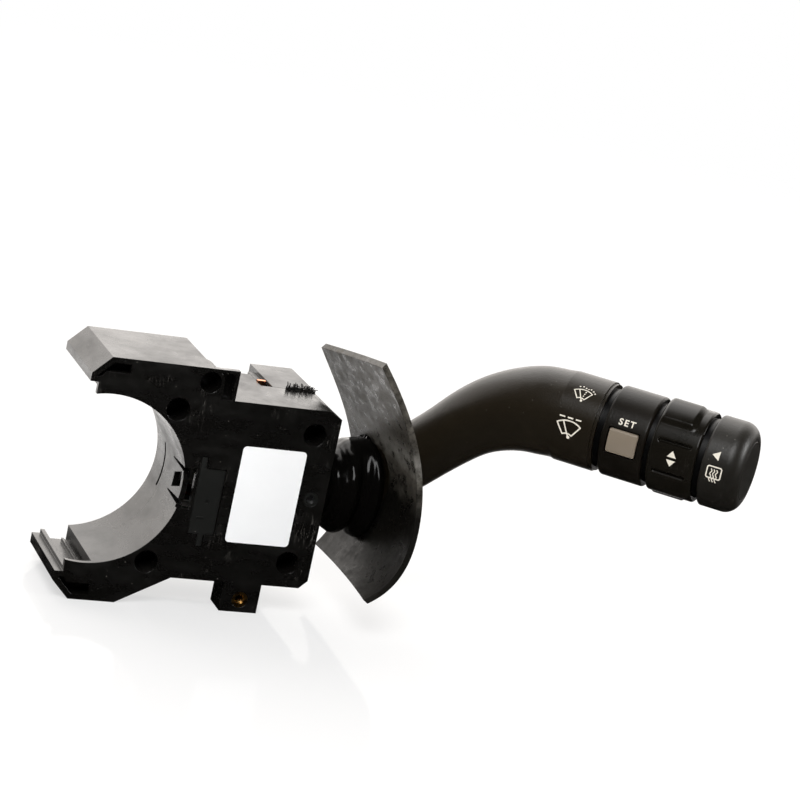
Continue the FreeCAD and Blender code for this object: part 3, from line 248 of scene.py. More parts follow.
def makePlastic(name):
    look = {**usualPlastic, **plasticLooks[name]}
    material, tree, shader = startMaterial(name)
    points = objectPoints(tree)
    streaks = noise(tree, objectPoints(tree, look["flow"], surface["flowTurn"]), 1.0,
                    surface["flowDetail"], surface["flowRough"])
    worn = spread(tree, streaks, surface["wornFrom"], surface["wornTo"])
    body = blendColours(tree, worn, look["colour"], look["worn"])
    if look["dust"]:
        dust = spread(tree, specks(tree, points), 0, 1, 0, look["dust"])
        body = blendColours(tree, dust, body, surface["dustGrey"])
    if look["scratch"]:
        # fine scratches: the thin crests of a drawn-out noise, only in some patches
        drawn = noise(tree, objectPoints(tree, surface["scratchStretch"], surface["scratchTurn"]),
                      surface["scratchScale"], 2.0)
        line = spread(tree, calc(tree, "ABSOLUTE", calc(tree, "SUBTRACT", drawn, 0.5)),
                      surface["scratchWidth"], 0.0, 0, 1)
        patch = spread(tree, noise(tree, points, surface["scratchPatch"]),
                       surface["patchFrom"], surface["patchTo"], 0, look["scratch"])
        body = blendColours(tree, calc(tree, "MULTIPLY", line, patch), body, surface["scuffGrey"])
    tree.links.new(body, shader.inputs["Base Color"])
    tree.links.new(spread(tree, streaks, surface["roughFrom"], surface["roughTo"], *look["rough"]),
                   shader.inputs["Roughness"])
    shader.inputs["Specular IOR Level"].default_value = look["specular"]
    raised(tree, shader, noise(tree, points, look["grain"], surface["grainDetail"]),
           look["bump"], surface["grainDepth"], look["edge"])
    return material


# the film and stain colours on the upper part are lighter partly as painted light
shroudLook = {"deep": (0.0032, 0.0029, 0.0023), "litFilm": (0.026, 0.0235, 0.0195),
              "litStain": (0.082, 0.075, 0.063), "bare": (0.0060, 0.0054, 0.0044),
              "litUpperFrom": 3.0 * mm, "litUpperTo": 13.0 * mm, "waver": 2 * mm,
              # a painted highlight band: its pale colour, the height it lies at, its reach and its strength
              "paintedHighlight": (0.20, 0.195, 0.18), "paintedHighlightHeight": 19.0 * mm, "paintedHighlightReach": 4.5 * mm,
              "paintedHighlightLeast": 0.1, "paintedHighlightMost": 0.8,
              "underFrom": -14.0 * mm, "underTo": -22.0 * mm, "underShare": 0.07,
              "patchScale": 240, "patchRough": 0.70, "patchFrom": 0.40, "patchTo": 0.62,
              "stainScale": 900, "stainRough": 0.78, "stainStretch": (1, 1, 1.6), "stainTurn": (0.5, 0, 0.3),
              "stainFrom": 0.50, "stainTo": 0.64, "stainShare": 0.8, "detail": 6.0,
              "rough": (0.26, 0.50), "specular": 0.14, "bump": 0.35, "depth": 0.05 * mm, "edge": 0.3 * mm}


def makeShroudPlastic():
    # a dull mottled film on the upper half, which is lighter there partly as painted light, with a painted
    # highlight band; the plain dark plastic below
    look = shroudLook
    material, tree, shader = startMaterial("shroudBlack")
    points = objectPoints(tree)
    patches = noise(tree, points, look["patchScale"], look["detail"], look["patchRough"])
    stains = noise(tree, objectPoints(tree, look["stainStretch"], look["stainTurn"]),
                   look["stainScale"], look["detail"], look["stainRough"])
    filmed = spread(tree, patches, look["patchFrom"], look["patchTo"])
    stained = spread(tree, stains, look["stainFrom"], look["stainTo"], 0, look["stainShare"])
    litMottle = blendColours(tree, filmed, look["litFilm"], look["litStain"])
    litMottle = blendColours(tree, stained, litMottle, look["deep"])
    # the height at which the film starts wavers
    waver = spread(tree, patches, 0.3, 0.7, -look["waver"], look["waver"])
    height = calc(tree, "ADD", axesOf(tree, points)["Z"], waver)
    # the upper part is lighter, partly from the mottled film and partly as painted light; the plain dark
    # plastic is below
    litUpper = spread(tree, height, look["litUpperFrom"], look["litUpperTo"])
    under = spread(tree, height, look["underFrom"], look["underTo"], 0, look["underShare"])
    # painted highlight: a pale band at one height on the upper part, in cloudy patches, laid over the body
    away = calc(tree, "ABSOLUTE", calc(tree, "SUBTRACT", height, look["paintedHighlightHeight"]))
    paintedGlare = calc(tree, "MULTIPLY", spread(tree, away, look["paintedHighlightReach"], 0), litUpper)
    body = blendColours(tree, calc(tree, "MAXIMUM", litUpper, under), look["bare"], litMottle)
    paintedHighlightPatches = spread(tree, patches, 0.35, 0.6, look["paintedHighlightLeast"], look["paintedHighlightMost"])
    body = blendColours(tree, calc(tree, "MULTIPLY", paintedGlare, paintedHighlightPatches), body, look["paintedHighlight"])
    tree.links.new(body, shader.inputs["Base Color"])
    tree.links.new(spread(tree, patches, 0.40, 0.60, *look["rough"]), shader.inputs["Roughness"])
    shader.inputs["Specular IOR Level"].default_value = look["specular"]
    raised(tree, shader, stains, look["bump"], look["depth"], look["edge"])
    return material


rubberLook = {"patchScale": 160, "roughSpread": 0.25, "specular": 0.13,
              "wrinkleScale": 500, "depth": 0.08 * mm}


def makeRubber(name, colour, rough, bump):
    material, tree, shader = startMaterial(name)
    points = objectPoints(tree)
    uneven = rough * rubberLook["roughSpread"]
    tree.links.new(spread(tree, noise(tree, points, rubberLook["patchScale"], 4.0), 0.35, 0.65,
                          rough - uneven, rough + uneven), shader.inputs["Roughness"])
    shader.inputs["Base Color"].default_value = (*colour, 1)
    shader.inputs["Specular IOR Level"].default_value = rubberLook["specular"]
    raised(tree, shader, noise(tree, points, rubberLook["wrinkleScale"]), bump, rubberLook["depth"])
    return material


metalLook = {"grain": 900, "uneven": 0.3}


def makeMetal(name, colour, rough):
    material, tree, shader = startMaterial(name)
    fine = noise(tree, objectPoints(tree), metalLook["grain"])
    low, high = 1 - metalLook["uneven"], 1 + metalLook["uneven"]
    shade = tuple(value * low for value in colour)
    tree.links.new(blendColours(tree, spread(tree, fine, 0.3, 0.7), shade, colour),
                   shader.inputs["Base Color"])
    tree.links.new(spread(tree, fine, 0.3, 0.7, rough * low, rough * high), shader.inputs["Roughness"])
    shader.inputs["Metallic"].default_value = 1.0
    return material


def makeFlat(name, colour, rough, mottle, scale):
    material, tree, shader = startMaterial(name)
    paper = noise(tree, objectPoints(tree), scale)
    darker = tuple(value * (1 - mottle) for value in colour)
    tree.links.new(blendColours(tree, paper, darker, colour), shader.inputs["Base Color"])
    shader.inputs["Roughness"].default_value = rough
    return material


materials = {name: makePlastic(name) for name in plasticLooks}
materials["shroudBlack"] = makeShroudPlastic()
materials["bootRubber"] = makeRubber("bootRubber", (0.0020, 0.0018, 0.0016), 0.13, 0.05)
materials["loomRubber"] = makeRubber("loomRubber", (0.015, 0.015, 0.015), 0.5, 0.1)
materials["sealFibre"] = makeRubber("sealFibre", (0.012, 0.011, 0.010), 0.8, 0.3)
materials["steel"] = makeMetal("steel", (0.62, 0.62, 0.63), 0.28)
materials["zinc"] = makeMetal("zinc", (0.55, 0.56, 0.58), 0.35)
materials["brass"] = makeMetal("brass", (0.46, 0.27, 0.085), 0.30)
materials["copper"] = makeMetal("copper", (0.86, 0.33, 0.13), 0.28)
materials["labelWhite"] = makeFlat("labelWhite", (0.88, 0.89, 0.90), 0.42, 0.02, 120)
materials["printWhite"] = makeFlat("printWhite", (0.70, 0.66, 0.57), 0.5, 0.14, 1500)
materials["boardGreen"] = makeFlat("boardGreen", (0.03, 0.16, 0.07), 0.4, 0.25, 200)
materials["switchBlack"] = makeFlat("switchBlack", (0.02, 0.02, 0.02), 0.45, 0.2, 400)
print("materials made:", len(materials))


# CAD nodes: the ones that show get a merged, smoothly shaded copy; the rest keep their own mesh

nodeFinishes = {
    "front_shell": "housingBlack", "rear_cover": "housingBlack", "connector_shroud": "housingBlack",
    "contact_cover": "coverBlack", "pivot_bushes": "coverBlack", "cover_screws": "zinc",
    "label_plate": "labelWhite", "brass_insert": "brass", "terminal_pins": "brass",
    "copper_contact": "copper", "circuit_board": "boardGreen", "contact_tracks": "copper",
    "slider_guide": "innerWhite", "contact_slider": "innerWhite", "slider_contacts": "brass",
    "lever_cradle": "innerWhite", "lift_pins": "steel", "pull_pin": "steel",
    "pull_return_spring": "steel", "detent_plunger": "innerWhite", "detent_spring": "steel",
    "detent_track": "innerWhite", "lever_core": "coverBlack", "shroud": "shroudBlack",
    "stalk_grip": "gripBlack", "stalk_loom": "loomRubber", "loom_plug": "switchBlack",
    "spindle_tube": "spindleShadeBlack", "button_board": "boardGreen", "tact_switches": "switchBlack",
    "button_band": "bandBlack", "set_button": "buttonTaupe",
    "ring_detent_ball": "steel", "ring_detent_spring": "steel", "end_cap": "capBlack",
    "end_button": "capBlack", "end_button_spring": "steel",
}
smoothNodes = {"front_shell": "housing_front", "rear_cover": "housing_rear", "shroud": "shroud_blade",
               "stalk_grip": "grip", "button_band": "band",
               "end_cap": "tip_cap", "end_button": "tip_button_face", "set_button": "side_button_face",
               "connector_shroud": "connector_block", "pivot_bushes": "pivot_rings",
               "brass_insert": "threaded_bush", "spindle_tube": "spindle", "lever_core": "lever_neck"}
smoothShading = {"mergeWithin": 0.001 * mm, "sharpFromDegrees": 28}
roundedNodes = {"set_button": 0.6 * mm, "end_button": 0.5 * mm}    # edges rounded as geometry
rounding = {"flatWithinDegrees": 1, "segments": 3, "fromDegrees": 50}
buttonShrink = 0.965    # leaves the dark gap round the square button


def putOn(obj, material):
    obj.data.materials.clear()
    obj.data.materials.append(materials[material])


def newPiece(name, mesh, material, body, standsFor=None):
    piece = addObject(name, mesh)
    putOn(piece, material)
    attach(piece, body)
    if standsFor:
        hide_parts(standsFor)


def bakedMesh(mesh, kind, **settings):
    # the mesh as one modifier leaves it
    holder = addObject("holder", mesh)
    modifier = holder.modifiers.new(kind.lower(), kind)
    for key, value in settings.items():
        setattr(modifier, key, value)
    return plainMesh(holder)


# thin webs that close the two arm slots and the latch eye from behind, in millimetres:
# each one's outline (x, z) and how far it lies behind the front face
slotWebs = {"thick": 0.5,
            "pockets": ((((-6.2, 28.9), (-6.2, 29.8), (-1.9, 34.1), (7.5, 34.1), (7.5, 28.9)), 5.5),
                        (((-6.2, -28.9), (-6.2, -30.4), (-1.9, -34.7), (7.5, -34.7), (7.5, -28.9)), 5.5),
                        (((30.2, 25.0), (30.2, 34.7), (34.4, 34.7), (34.4, 25.0)), 4.0))}


def closeSlots(mesh):
    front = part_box("front_shell")[0][1]
    work = bmesh.new()
    work.from_mesh(mesh)
    for outline, depth in slotWebs["pockets"]:
        sheets = []
        for behind in (depth, depth + slotWebs["thick"]):
            sheets.append([work.verts.new((x * mm, front + behind * mm, z * mm)) for x, z in outline])
        near, back = sheets
        added = [work.faces.new(near), work.faces.new(back)]
        for index in range(len(outline)):
            after = (index + 1) % len(outline)
            added.append(work.faces.new((near[index], near[after], back[after], back[index])))
        bmesh.ops.recalc_face_normals(work, faces=added)
    work.to_mesh(mesh)
    work.free()


def smoothCopy(node, name):
    mesh = frame["nodes"][node].data.copy()
    work = bmesh.new()
    work.from_mesh(mesh)
    bmesh.ops.remove_doubles(work, verts=work.verts, dist=smoothShading["mergeWithin"])
    if node in roundedNodes:
        bmesh.ops.dissolve_limit(work, angle_limit=math.radians(rounding["flatWithinDegrees"]),
                                 verts=work.verts, edges=work.edges)
    work.to_mesh(mesh)
    work.free()
    if mesh.has_custom_normals:
        mesh.attributes.remove(mesh.attributes["custom_normal"])
    if node in roundedNodes:
        mesh = bakedMesh(mesh, "BEVEL", width=roundedNodes[node], segments=rounding["segments"],
                         limit_method="ANGLE", angle_limit=math.radians(rounding["fromDegrees"]))
    for face in mesh.polygons:
        face.use_smooth = True
    mesh.set_sharp_from_angle(angle=math.radians(smoothShading["sharpFromDegrees"]))
    mesh = bakedMesh(mesh, "WEIGHTED_NORMAL", keep_sharp=True)
    if node == "set_button":
        for vert in mesh.vertices:
            away = vert.co - knobMiddle
            vert.co -= (away - knobSide * away.dot(knobSide)) * (1 - buttonShrink)
    if node == "front_shell":
        closeSlots(mesh)
    newPiece(name, mesh, nodeFinishes[node], bodyOf(node), node)


for node, finish in nodeFinishes.items():
    if node in smoothNodes:
        smoothCopy(node, smoothNodes[node])
    else:
        putOn(frame["nodes"][node], finish)
print("CAD nodes dressed:", len(nodeFinishes))


# geometry node helpers

def startTree(name, inputs):
    tree = bpy.data.node_groups.new(name, "GeometryNodeTree")
    for label, kind in inputs:
        tree.interface.new_socket(label, in_out="INPUT", socket_type=kind)
    tree.interface.new_socket("Geometry", in_out="OUTPUT", socket_type="NodeSocketGeometry")
    start = tree.nodes.new("NodeGroupInput")
    end = tree.nodes.new("NodeGroupOutput")
    return tree, start, end


def finishTree(tree, geometry, end):
    real = tree.nodes.new("GeometryNodeRealizeInstances")
    smooth = tree.nodes.new("GeometryNodeSetShadeSmooth")
    paint = tree.nodes.new("GeometryNodeSetMaterial")
    tree.links.new(geometry, real.inputs[0])
    tree.links.new(real.outputs[0], smooth.inputs["Geometry"])
    tree.links.new(smooth.outputs["Geometry"], paint.inputs["Geometry"])
    tree.links.new(paint.outputs["Geometry"], end.inputs["Geometry"])
    return paint


def runTree(tree, paint, values, material, base=None):
    paint.inputs["Material"].default_value = materials[material]
    holder = addObject("holder", base or bpy.data.meshes.new("start"))
    modifier = holder.modifiers.new("nodes", "NODES")
    modifier.node_group = tree
    for socket in tree.interface.items_tree:
        if socket.in_out == "INPUT" and socket.name in values:
            modifier[socket.identifier] = values[socket.name]
    return plainMesh(holder)


# rubber boot: fold profiles for its side, top and underside, turned round the lever's neck and crumpled;
# a profile is pairs of a share of the length and a radius in millimetres

boot = {"length": 20.8 * mm, "widest": 16.0, "along": 170, "around": 120, "skin": 0.8 * mm,
        "startsBeyond": 0.2 * mm, "clearOfShroud": 0.5 * mm,
        "crumple": 1.5 * mm, "crumpleScale": 150.0, "crumpleDetail": 1.5, "crumpleLevel": 0.56,
        "valley": 13.9 * mm, "stiffRoot": 2 * mm, "stiffTip": 1.5 * mm,
        "stiffBeforeValley": 1.5 * mm, "stiffAfterValley": 0.8 * mm,
        "mergeWithin": 0.01 * mm, "sharpFromDegrees": 60,
        "side": ((0.0, 13.6), (0.07, 13.8), (0.13, 13.1), (0.22, 11.7), (0.38, 13.2), (0.50, 14.1),
                 (0.56, 13.4), (0.66, 11.6), (0.78, 13.2), (0.86, 14.2), (0.92, 13.0), (1.0, 10.2)),
        "top": ((0.0, 12.6), (0.08, 11.4), (0.20, 10.3), (0.32, 10.6), (0.40, 12.0), (0.48, 13.4),
                (0.60, 14.3), (0.72, 14.9), (0.82, 15.2), (0.90, 14.2), (0.96, 12.6), (1.0, 11.0)),
        "under": ((0.0, 13.6), (0.10, 13.4), (0.24, 12.4), (0.36, 14.0), (0.46, 14.9), (0.54, 14.6),
                  (0.61, 13.2), (0.68, 13.6), (0.76, 15.4), (0.84, 15.7), (0.92, 14.0), (1.0, 10.8))}


def foldCurve(tree, name, along):
    folds = tree.nodes.new("ShaderNodeFloatCurve")
    curve = folds.mapping.curves[0]
    while len(curve.points) < len(boot[name]):
        curve.points.new(0.5, 0.5)
    for point, (share, radius) in zip(curve.points, boot[name]):
        point.location = (share, radius / boot["widest"])
        point.handle_type = "AUTO"
    folds.mapping.update()
    tree.links.new(along, folds.inputs["Value"])
    return folds.outputs["Value"]


def makeBootTree():
    inputs = (("Length", "NodeSocketFloat"), ("Widest", "NodeSocketFloat"), ("Centre", "NodeSocketVector"),
              ("Along", "NodeSocketInt"), ("Around", "NodeSocketInt"), ("Crumple", "NodeSocketFloat"),
              ("Crumple Scale", "NodeSocketFloat"))
    tree, start, end = startTree("bootFolds", inputs)
    grid = tree.nodes.new("GeometryNodeMeshGrid")
    grid.inputs["Size X"].default_value = 1.0
    grid.inputs["Size Y"].default_value = 1.0
    tree.links.new(start.outputs["Along"], grid.inputs["Vertices X"])
    tree.links.new(start.outputs["Around"], grid.inputs["Vertices Y"])
    place = axesOf(tree, tree.nodes.new("GeometryNodeInputPosition").outputs[0])
    along = calc(tree, "ADD", place["X"], 0.5)
    angle = calc(tree, "MULTIPLY", place["Y"], 2 * math.pi)
    cosine, sine = calc(tree, "COSINE", angle), calc(tree, "SINE", angle)
    # how much each profile counts at an angle: their squares add up to one
    facing = (("side", calc(tree, "ABSOLUTE", cosine)), ("top", calc(tree, "MAXIMUM", sine, 0.0)),
              ("under", calc(tree, "MAXIMUM", calc(tree, "MULTIPLY", sine, -1.0), 0.0)))
    radius = 0.0
    for name, part in facing:
        share = calc(tree, "POWER", part, 2.0)
        radius = calc(tree, "ADD", calc(tree, "MULTIPLY", foldCurve(tree, name, along), share), radius)
    radius = calc(tree, "MULTIPLY", radius, start.outputs["Widest"])
    centre = axesOf(tree, start.outputs["Centre"])
    distance = calc(tree, "ADD", calc(tree, "MULTIPLY", along, start.outputs["Length"]), centre["X"])

    def onTheRound(reach):
        join = tree.nodes.new("ShaderNodeCombineXYZ")
        tree.links.new(distance, join.inputs[0])
        for axis, turned in (("Y", cosine), ("Z", sine)):
            aside = calc(tree, "MULTIPLY", reach, turned)
            tree.links.new(calc(tree, "ADD", aside, centre[axis]), join.inputs[axis])
        return join.outputs[0]

    creases = tree.nodes.new("ShaderNodeTexNoise")
    creases.inputs["Detail"].default_value = boot["crumpleDetail"]
    tree.links.new(onTheRound(radius), creases.inputs["Vector"])
    tree.links.new(start.outputs["Crumple Scale"], creases.inputs["Scale"])
    free = calc(tree, "SINE", calc(tree, "MULTIPLY", along, math.pi))    # held at both ends
    dents = calc(tree, "MULTIPLY", calc(tree, "SUBTRACT", creases.outputs["Fac"], boot["crumpleLevel"]), free)
    radius = calc(tree, "ADD", radius, calc(tree, "MULTIPLY", dents, start.outputs["Crumple"]))
    moved = tree.nodes.new("GeometryNodeSetPosition")
    tree.links.new(grid.outputs["Mesh"], moved.inputs["Geometry"])
    tree.links.new(onTheRound(radius), moved.inputs["Position"])
    merged = tree.nodes.new("GeometryNodeMergeByDistance")
    merged.inputs["Distance"].default_value = boot["mergeWithin"]
    tree.links.new(moved.outputs["Geometry"], merged.inputs["Geometry"])
    return tree, finishTree(tree, merged.outputs["Geometry"], end)


def bootLength(mesh, cutAt, side):
    # the part of the boot on one side of a plane across it, closed where it is cut
    part = mesh.copy()
    work = bmesh.new()
    work.from_mesh(part)
    cut = bmesh.ops.bisect_plane(work, geom=work.verts[:] + work.edges[:] + work.faces[:], dist=1e-7,
                                 plane_co=(cutAt, 0, 0), plane_no=(side, 0, 0), clear_outer=True)
    rims = [item for item in cut["geom_cut"] if isinstance(item, bmesh.types.BMEdge)]
    bmesh.ops.bridge_loops(work, edges=rims)
    for face in work.faces:
        face.smooth = True
    closedMesh(work, part)
    part.set_sharp_from_angle(angle=math.radians(boot["sharpFromDegrees"]))
    return part


def makeBoot():
    tree, paint = makeBootTree()
    leverY = jointNamed("lift")["pos_m"][1]
    values = {"Length": boot["length"], "Widest": boot["widest"] * mm,
              "Centre": (housingRight + boot["startsBeyond"], leverY, 0.0),
              "Along": boot["along"], "Around": boot["around"],
              "Crumple": boot["crumple"], "Crumple Scale": boot["crumpleScale"]}
    mesh = runTree(tree, paint, values, "bootRubber")
    # pressed flat where it meets the shroud
    blade = bpy.data.objects["shroud_blade"].data
    shield = BVHTree.FromPolygons([vert.co for vert in blade.vertices],
                                  [face.vertices for face in blade.polygons])
    for vert in mesh.vertices:
        hit = shield.ray_cast(Vector((housingRight, vert.co.y, vert.co.z)), Vector((1, 0, 0)))[0]
        if hit:
            vert.co.x = min(vert.co.x, hit.x - boot["clearOfShroud"])
    work = bmesh.new()
    work.from_mesh(mesh)
    mesh = bakedMesh(closedMesh(work, mesh), "SOLIDIFY", thickness=boot["skin"], offset=-1.0)
    # two lengths that meet in a valley, each a piece of its own
    valley, tip = housingRight + boot["valley"], housingRight + boot["length"]
    for name, side, bodies, blendFrom, blendTo in (
            ("rubber_boot", 1, ("housing", "cradle"),
             housingRight + boot["stiffRoot"], valley - boot["stiffBeforeValley"]),
            ("rubber_boot_end", -1, ("cradle", "lever"),
             valley + boot["stiffAfterValley"], tip - boot["stiffTip"])):
        piece = addObject(name, bootLength(mesh, valley, side))
        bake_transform(piece)
        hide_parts("dust_boot")


makeBoot()
print("boot made")


# turning ring: a tube whose radius follows its two finger lugs, its rounded ends and its grooves

ring = {"start": 8.0, "end": 21.7, "radius": 13.25, "bore": 11.75, "round": 0.7,
        "lugCentres": (68.0, 248.0), "lugHalf": 20.0, "lugBlend": 9.0, "lugHeight": 1.0,
        "lugStart": 7.4, "lugEnd": 19.3, "lugEndBlend": 1.9,
        "grooves": (19.4, -21.5), "grooveStart": 10.4, "grooveEnd": 19.2, "grooveHalf": 0.58,
        "grooveDepth": 0.95, "grooveSoft": 1.25, "along": 110, "around": 420, "sharpFromDegrees": 50}


def eased(value):
    value = min(max(value, 0.0), 1.0)
    return value * value * (3 - 2 * value)


def ringRadius(along, degrees):
    look = ring
    radius = look["radius"]
    for centre in look["lugCentres"]:
        turned = abs((degrees - centre + 180) % 360 - 180)
        beside = eased((look["lugHalf"] + look["lugBlend"] - turned) / look["lugBlend"])
        ahead = eased((along - look["lugStart"]) / look["lugEndBlend"])
        behind = eased((look["lugEnd"] - along) / look["lugEndBlend"])
        radius += look["lugHeight"] * beside * ahead * behind
    for centre in look["grooves"]:
        turned = (degrees - centre + 180) % 360 - 180
        aside = math.radians(turned) * look["radius"]
        beyond = max(look["grooveStart"] - along, along - look["grooveEnd"], 0.0)
        inside = look["grooveSoft"] - math.hypot(aside, beyond) / look["grooveHalf"]
        radius -= look["grooveDepth"] * eased(inside)
    for away in (along - look["start"], look["end"] - along):
        if away < look["round"]:
            radius -= look["round"] - math.sqrt(max(look["round"] ** 2 - (look["round"] - away) ** 2, 0.0))
    return radius


def makeRing():
    rows = []
    work = bmesh.new()
    for step in range(ring["along"] + 1):
        # closer together near the two ends, where the edge turns
        share = 0.5 - 0.5 * math.cos(math.pi * step / ring["along"])
        along = ring["start"] + (ring["end"] - ring["start"]) * share
        rows.append([(along, ringRadius(along, 360.0 * turn / ring["around"]))
                     for turn in range(ring["around"])])
    for along in (ring["end"], ring["start"]):
        rows.append([(along, ring["bore"])] * ring["around"])
    verts = []
    for row in rows:
        line = []
        for turn, (along, radius) in enumerate(row):
            angle = 2 * math.pi * turn / ring["around"]
            out = knobSide * math.cos(angle) + up * math.sin(angle)
            line.append(work.verts.new(knobMiddle + knobAxis * (along * mm) + out * (radius * mm)))
        verts.append(line)
    for first, second in zip(verts, verts[1:] + verts[:1]):
        for turn in range(ring["around"]):
            after = (turn + 1) % ring["around"]
            work.faces.new((first[turn], first[after], second[after], second[turn])).smooth = True
    mesh = closedMesh(work, bpy.data.meshes.new("turning_ring"))
    mesh.set_sharp_from_angle(angle=math.radians(ring["sharpFromDegrees"]))
    newPiece("turning_ring", mesh, "ringBlack", "ring", "rotary_ring")


makeRing()
print("turning ring made")


# marks on the knob: flat shapes drawn in millimetres, then laid on its round surface

cornerShare = 0.6


def strip(points, width):
    # a stroke of even width along points, a little longer at both ends so that its corners close
    half = width / 2
    quads = []
    for start, end in zip(points, points[1:]):
        run = (Vector(end) - Vector(start)).normalized()
        across = Vector((-run.y, run.x)) * half
        ahead = run * half * cornerShare
        first, last = Vector(start) - ahead, Vector(end) + ahead
        quads.append([first - across, last - across, last + across, first + across])
    return quads


def arc(radius, fromDegrees, toDegrees, steps):
    points = []
    for step in range(steps + 1):
        angle = math.radians(fromDegrees + (toDegrees - fromDegrees) * step / steps)
        points.append((radius * math.sin(angle), radius * math.cos(angle)))
    return points


def disc(centre, radius, sides=14):
    return [Vector((centre[0] + radius * math.cos(2 * math.pi * side / sides),
                    centre[1] + radius * math.sin(2 * math.pi * side / sides))) for side in range(sides)]


wiperMark = {"outer": 6.9, "inner": 2.7, "half": 35.0, "line": 0.44, "arm": -17.0, "foot": (0.55, 1.5),
             "pivot": 1.25}
dashMark = {"length": 1.6, "line": 0.46, "step": 2.75, "above": 0.95}
sprayMark = {"jet": (0.25, 0.5, 0.75, 1.2), "jetFrom": 0.18, "jetTo": 0.21, "jetHalf": 0.16, "drop": 0.34,
             "far": (-16, -6, 18, 28), "farAbove": 1.7, "farFall": 0.012, "near": (3, 37), "nearAbove": 1.1}
demistMark = {"wide": 4.3, "high": 3.5, "line": 0.36, "wave": 0.22, "waveLength": 1.7, "spacing": 0.85,
              "below": 0.8, "beyond": 0.3, "steps": 16, "waveLine": 0.8}
wordMark = {"capitalShare": 0.70, "bolder": 0.035, "spacing": 1.3}


def wiperShapes():
    look = wiperMark
    shapes = strip(arc(look["outer"], -look["half"], look["half"], 14), look["line"])
    shapes += strip(arc(look["inner"], -look["half"], look["half"], 6), look["line"])
    for side in (-1, 1):
        lean = math.radians(side * look["half"])
        ray = Vector((math.sin(lean), math.cos(lean)))
        shapes += strip([ray * look["inner"], ray * look["outer"]], look["line"])
    lean = math.radians(look["arm"])
    ray = Vector((math.sin(lean), math.cos(lean)))
    foot = Vector(look["foot"])
    shapes += strip([foot, ray * look["outer"]], look["line"])
    shapes.append(disc(foot, look["line"] * look["pivot"]))
    return shapes


def intermittentShapes():
    shapes = wiperShapes()
    top = wiperMark["outer"] + dashMark["above"]
    for place in (-1, 0, 1):
        middle = place * dashMark["step"]
        half = dashMark["length"] / 2
        shapes += strip([(middle - half, top), (middle + half, top)], dashMark["line"])
    return shapes


def sprayShapes():
    look, outer, inner = sprayMark, wiperMark["outer"], wiperMark["inner"]
    shapes = wiperShapes()
    for share in look["jet"]:
        reach = inner + share * (outer - inner)
        shapes += strip([(reach * look["jetFrom"], reach - look["jetHalf"]),
                         (reach * look["jetTo"], reach + look["jetHalf"])], wiperMark["line"])
    drops = [(degrees, look["farAbove"] - abs(degrees) * look["farFall"]) for degrees in look["far"]]
    drops += [(degrees, look["nearAbove"]) for degrees in look["near"]]
    for degrees, above in drops:
        shapes.append(disc(arc(outer + above, degrees, degrees, 1)[0], look["drop"]))
    return shapes


def demistShapes():
    look = demistMark
    right, top = look["wide"] / 2, look["high"] / 2
    cut = look["line"]
    frameLine = [(-right + cut, top), (right - cut, top), (right, top - cut), (right, -top + cut),
                 (right - cut, -top), (-right + cut, -top), (-right, -top + cut), (-right, top - cut),
                 (-right + cut, top)]
    shapes = strip(frameLine, look["line"])
    for place in (-1, 0, 1):
        wave = []
        for step in range(look["steps"] + 1):
            drop = top - look["below"] - step * (look["high"] + look["beyond"]) / look["steps"]
            aside = look["wave"] * math.sin(2 * math.pi * drop / look["waveLength"])
            wave.append((place * look["spacing"] + aside, drop))
        shapes += strip(wave, look["line"] * look["waveLine"])
    return shapes


def triangle(width, height, turnDegrees):
    turn = Matrix.Rotation(math.radians(turnDegrees), 2)
    corners = ((-width / 2, -height / 2), (width / 2, -height / 2), (0, height / 2))
    return [[turn @ Vector(corner) for corner in corners]]


def wordShapes(word, height):
    curve = bpy.data.curves.new("word", "FONT")
    curve.body = word
    curve.align_x = "CENTER"
    curve.align_y = "CENTER"
    curve.size = height / wordMark["capitalShare"]
    curve.offset = wordMark["bolder"] * height
    curve.space_character = wordMark["spacing"]
    mesh = plainMesh(addObject("word", curve))
    return [[Vector(mesh.vertices[index].co[:2]) for index in face.vertices] for face in mesh.polygons]


printLayer = {"radius": 13.25 * mm, "lift": 0.03 * mm, "facet": 0.7, "rounds": 3}


def layOnKnob(name, shapes, along, degrees, body, scale=1.0):
    # shapes are flat polygons in millimetres: x along the knob, y up its round side
    radius = printLayer["radius"]
    work = bmesh.new()
    for shape in shapes:
        corners = [work.verts.new((point[0] * scale, point[1] * scale, 0)) for point in shape]
        work.faces.new(corners)
    bmesh.ops.triangulate(work, faces=work.faces)
    for _ in range(printLayer["rounds"]):
        long = [edge for edge in work.edges if edge.calc_length() > printLayer["facet"]]
        if long:
            bmesh.ops.subdivide_edges(work, edges=long, cuts=1)
            bmesh.ops.triangulate(work, faces=work.faces)
    bmesh.ops.recalc_face_normals(work, faces=work.faces)
    for vert in work.verts:
        angle = math.radians(degrees) + vert.co.y * mm / radius
        out = knobSide * math.cos(angle) + up * math.sin(angle)
        vert.co = knobMiddle + knobAxis * ((along + vert.co.x) * mm) + out * (radius + printLayer["lift"])
    for face in work.faces:
        face.normal_update()
        outward = face.calc_center_median() - knobMiddle
        outward -= knobAxis * outward.dot(knobAxis)
        if face.normal.dot(outward) < 0:
            face.normal_flip()
    mesh = bpy.data.meshes.new(name)
    work.to_mesh(mesh)
    work.free()
    newPiece(name, mesh, "printWhite", body)


